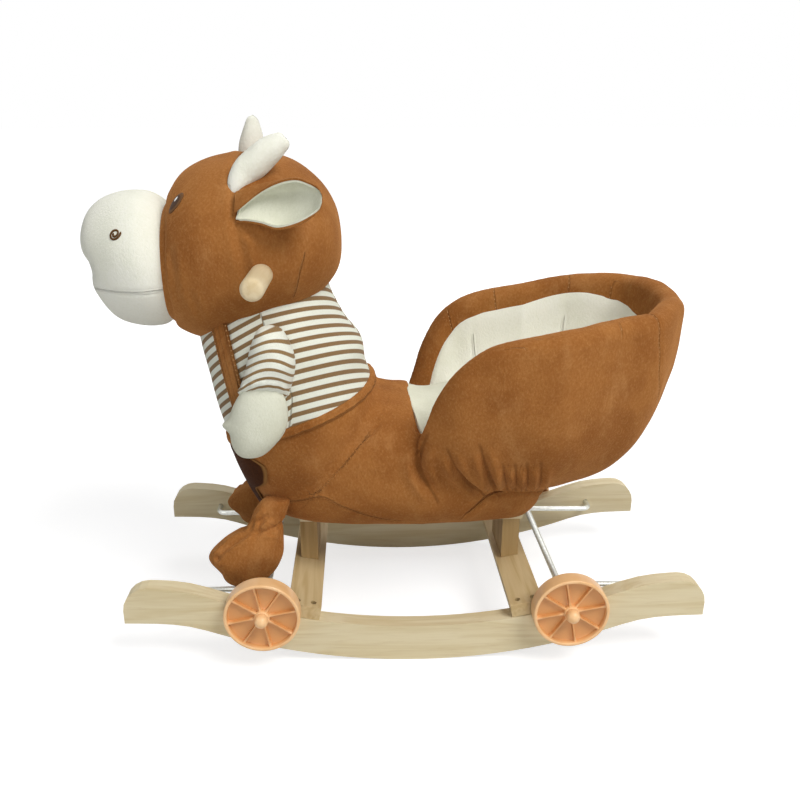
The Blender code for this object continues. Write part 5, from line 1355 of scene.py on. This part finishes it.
def make_wheel(name):
    """Rim, web and hub as one turned ring with round edges, and ribs between hub and rim on both faces."""
    middle, (radius, half, _) = middle_and_halves(name)
    inner, web, hub = radius - WHEEL_RIM, WHEEL_WEB / 2, WHEEL_HUB
    face = [(half - 0.0005, AXLE_HOLE), (half, AXLE_HOLE + 0.0005), (half, hub - 0.0006)]
    face += [(half - 0.0002, hub - 0.0002), (half - 0.0006, hub), (web + 0.001, hub + 0.0003)]
    face += [(web + 0.0003, hub + 0.0006), (web, hub + 0.0012), (web, inner - 0.0012)]
    face += [(web + 0.0003, inner - 0.0005), (web + 0.001, inner - 0.0002), (half - 0.0006, inner)]
    face += [(half - 0.0002, inner + 0.0002), (half, inner + 0.0006), (half, radius - 0.0010)]
    face += [(half - 0.0003, radius - 0.0004), (half - 0.0009, radius - 0.0001), (half - 0.0016, radius)]
    forms = [turned(face + [(-y, r) for y, r in face[::-1]], 120, middle)]
    top = half - RIB_RECESS
    along, across = rounded(np.linspace(0, 2 * pi, 24, endpoint=False) + pi / 24, 8)
    length = np.linspace(hub - 0.001, inner + 0.001, 5)
    swell = 1 + 0.5 * np.abs(2 * (length - length[0]) / (length[-1] - length[0]) - 1) ** 6
    hand = 1 if middle[1] > 0 else -1
    for k in range(WHEEL_RIBS):
        turn = hand * 2 * pi * (k + 0.25) / WHEEL_RIBS
        out = np.array((cos(turn), 0, -sin(turn)))
        flank = np.array((sin(turn), 0, cos(turn)))
        ring = flank * (RIB_WIDTH / 2 * swell[:, None, None] * along[None, :, None])
        ring = ring + np.array((0, 1, 0)) * (top * across)[None, :, None]
        forms.append(closed_tube(middle + length[:, None, None] * out + ring))
    points, faces = joined(*forms)
    # Painted shade: the web's sunk faces between hub and rim are marked for a deeper colour.
    from_axle = np.hypot(points[:, 0] - middle[0], points[:, 2] - middle[2])
    deep = 1 - soft_step(np.abs(points[:, 1] - middle[1]), top - 0.0005, half - 0.0006)
    recess_shade = deep * (from_axle > hub + 0.0001) * (from_axle < inner + 0.0001)
    make_piece(name + "_turned", (points, faces), PEACH, name, (name,), sharp=40, marks={"recess_shade": recess_shade})


def make_cap(name, body):
    """A domed cap with the axle's end in its pocket."""
    (x, y, z), (radius, reach, _) = middle_and_halves(name)
    hand = 1 if y > 0 else -1
    inner, outer = abs(y) - reach, abs(y) + reach
    half = [(outer - radius + radius * cos(a), radius * sin(a)) for a in np.linspace(0.04, pi / 2, 12)]
    half += [(inner + 0.0008, radius), (inner + 0.0002, radius - 0.0002), (inner, radius - 0.0008)]
    half += [(inner, AXLE_HOLE + 0.0003), (inner + 0.0003, AXLE_HOLE), (inner + CAP_POCKET, AXLE_HOLE)]
    poles = hand * outer, hand * (inner + CAP_POCKET)
    form = turned([(hand * y, r) for y, r in half], 48, (x, 0, z), poles)
    make_piece(name + "_domed", form, PEACH, body, (name,), sharp=40)


def make_bar():
    """The turned bar through the head: a plain round with soft ends."""
    (x, _, z), (_, reach, _) = middle_and_halves("handle_bar")
    half, flat = reach - BAR_SHORTER, BAR_RADIUS - BAR_EDGE
    ends = [(half + 0.0006, 0.0006), (half + 0.0004, flat * 0.6)]
    bend = np.linspace(0.03, 1, 12) * pi / 2
    ends += [(half - 0.0060 * (1 - cos(a)), flat + BAR_EDGE * sin(a)) for a in bend]
    shank = [(y, BAR_RADIUS) for y in np.linspace(half - 0.02, 0.02 - half, 20)]
    profile = ends + shank + [(-y, r) for y, r in ends[::-1]]
    form = turned(profile, 72, (x, 0, z - BAR_LOWER), (half + 0.0006, -half - 0.0006))
    make_piece("handle_bar_turned", form, DOWEL, stands_for=("handle_bar",), sharp=60)


for end in ("front", "rear"):
    for side in ("left", "right"):
        make_wheel(end + "_" + side + "_wheel")
        make_cap(end + "_" + side + "_axle_cap", end + "_axle_frame")
make_bar()

DRESS = [
    # how the names of the model's pieces end, and what those pieces are made of
    (("rocker", "seat_board"), POPLAR),
    (("post", "neck_board"), POPLAR_POST),
    (("crossbar",), POPLAR_CROSS),
    (("handle_bar",), DOWEL),
    (("arm", "rod"), STEEL),
    (("screw", "screw_a", "screw_b"), SCREW),
    (("wheel", "cap"), PEACH),
    (("overalls", "seat_base", "seat_shell", "head", "ear", "leg", "strap"), BROWN),
    (("belly_patch", "eye", "nostril"), DARK),
    (("muzzle", "horn", "lining", "hand", "seat_cushion", "shirt", "sleeve"), CREAM),
]
for name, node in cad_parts.items():
    finishes = [finish for ends, finish in DRESS if name.endswith(ends)]
    for slot in node.material_slots:
        slot.material = finishes[0]


# Studio

CAMERA_PLACE = (-0.05111, -0.77737, 0.50613)
CAMERA_YAW = 0.0236
CAMERA_PITCH = 0.3383
CAMERA_ROLL = -0.0018
CAMERA_LENS = 35.65
CAMERA_SHIFT = 0.0259
FLOOR_REACH = 60.0
WHITE = (1.0, 1.0, 1.0, 1.0)
LAMPS = [
    # name, place, what it shines at, size, power and tone
    ("key", (1.3, -1.3, 2.5), (0.0, 0.0, 0.2), 1.5, 65.0, (1.0, 0.985, 0.96)),
    ("fill", (-1.9, -1.4, 1.7), (0.05, 0.0, 0.2), 2.0, 13.0, (1.0, 1.0, 1.0)),
    ("low", (0.2, -1.8, 0.24), (0.0, 0.0, 0.06), 0.7, 7.0, (1.0, 1.0, 1.0)),
    ("back", (0.3, 1.9, 2.2), (0.0, 0.0, 0.25), 1.8, 22.0, (1.0, 1.0, 1.0)),
]


def place_camera():
    """The photograph's camera: turned and tipped down about its own place."""
    data = bpy.data.cameras.new("camera")
    camera = link("camera", data)
    level = Vector((cos(CAMERA_YAW), -sin(CAMERA_YAW), 0.0))
    flat = cos(CAMERA_PITCH)
    ahead = Vector((sin(CAMERA_YAW) * flat, cos(CAMERA_YAW) * flat, -sin(CAMERA_PITCH)))
    lift = level.cross(ahead)
    right = level * cos(CAMERA_ROLL) + lift * sin(CAMERA_ROLL)
    up = lift * cos(CAMERA_ROLL) - level * sin(CAMERA_ROLL)
    turn = Matrix((right, up, -ahead)).transposed().to_4x4()
    camera.matrix_world = Matrix.Translation(Vector(CAMERA_PLACE) + Vector(MIDDLE)) @ turn
    data.sensor_width = 36.0
    data.lens = CAMERA_LENS
    data.shift_x = CAMERA_SHIFT
    data.clip_start = 0.02
    bpy.context.scene.camera = camera


def light_world():
    """A world that is white to the camera and in reflections, and a weak cool light otherwise."""
    world = bpy.data.worlds.new("studio")
    bpy.context.scene.world = world
    world.use_nodes = True
    world.node_tree.nodes.clear()
    made = Tree(world.node_tree)
    fill = made.node("ShaderNodeBackground", None, {"Color": (0.97, 0.98, 1.0, 1.0), "Strength": 0.17})
    white = made.node("ShaderNodeBackground", None, {"Color": WHITE, "Strength": 1.0})
    mix = made.node("ShaderNodeMixShader", None, {0: made.seen(), 1: fill, 2: white})
    made.node("ShaderNodeOutputWorld", None, {"Surface": mix})


def lay_floor():
    """A white floor that keeps the toy's shadow: it shines to the camera, and more so further off."""
    corners = [(x * FLOOR_REACH, y * FLOOR_REACH, 0) for x, y in ((-1, -1), (1, -1), (1, 1), (-1, 1))]
    mesh = bpy.data.meshes.new("floor")
    mesh.from_pydata(corners, [], [(0, 1, 2, 3)])
    floor = link("floor", mesh)
    made = Finish("floor_paper")
    made.finish((0.5, 0.5, 0.5, 1.0), 1.0, Specular_IOR_Level=0.0)
    away = made.node("ShaderNodeVectorMath", {"operation": "LENGTH"}, {0: made.place()}, out=1)
    shine = made.mix(made.step(away, 0.40, 2.0), (0.70, 0.70, 0.70, 1.0), WHITE)
    made.feed(made.shader.inputs["Emission Color"], shine)
    made.feed(made.shader.inputs["Emission Strength"], made.seen())
    mesh.materials.append(made.material)


def hang_lamp(name, place, target, size, power, tone):
    data = bpy.data.lights.new(name, "AREA")
    data.shape = "DISK"
    data.size = size
    data.energy = power
    data.color = tone
    lamp = link(name, data)
    lamp.location = place
    lamp.rotation_euler = (Vector(target) - Vector(place)).to_track_quat("-Z", "Y").to_euler()


place_camera()
light_world()
lay_floor()
for lamp in LAMPS:
    hang_lamp(*lamp)
bpy.context.scene.view_settings.view_transform = "Standard"
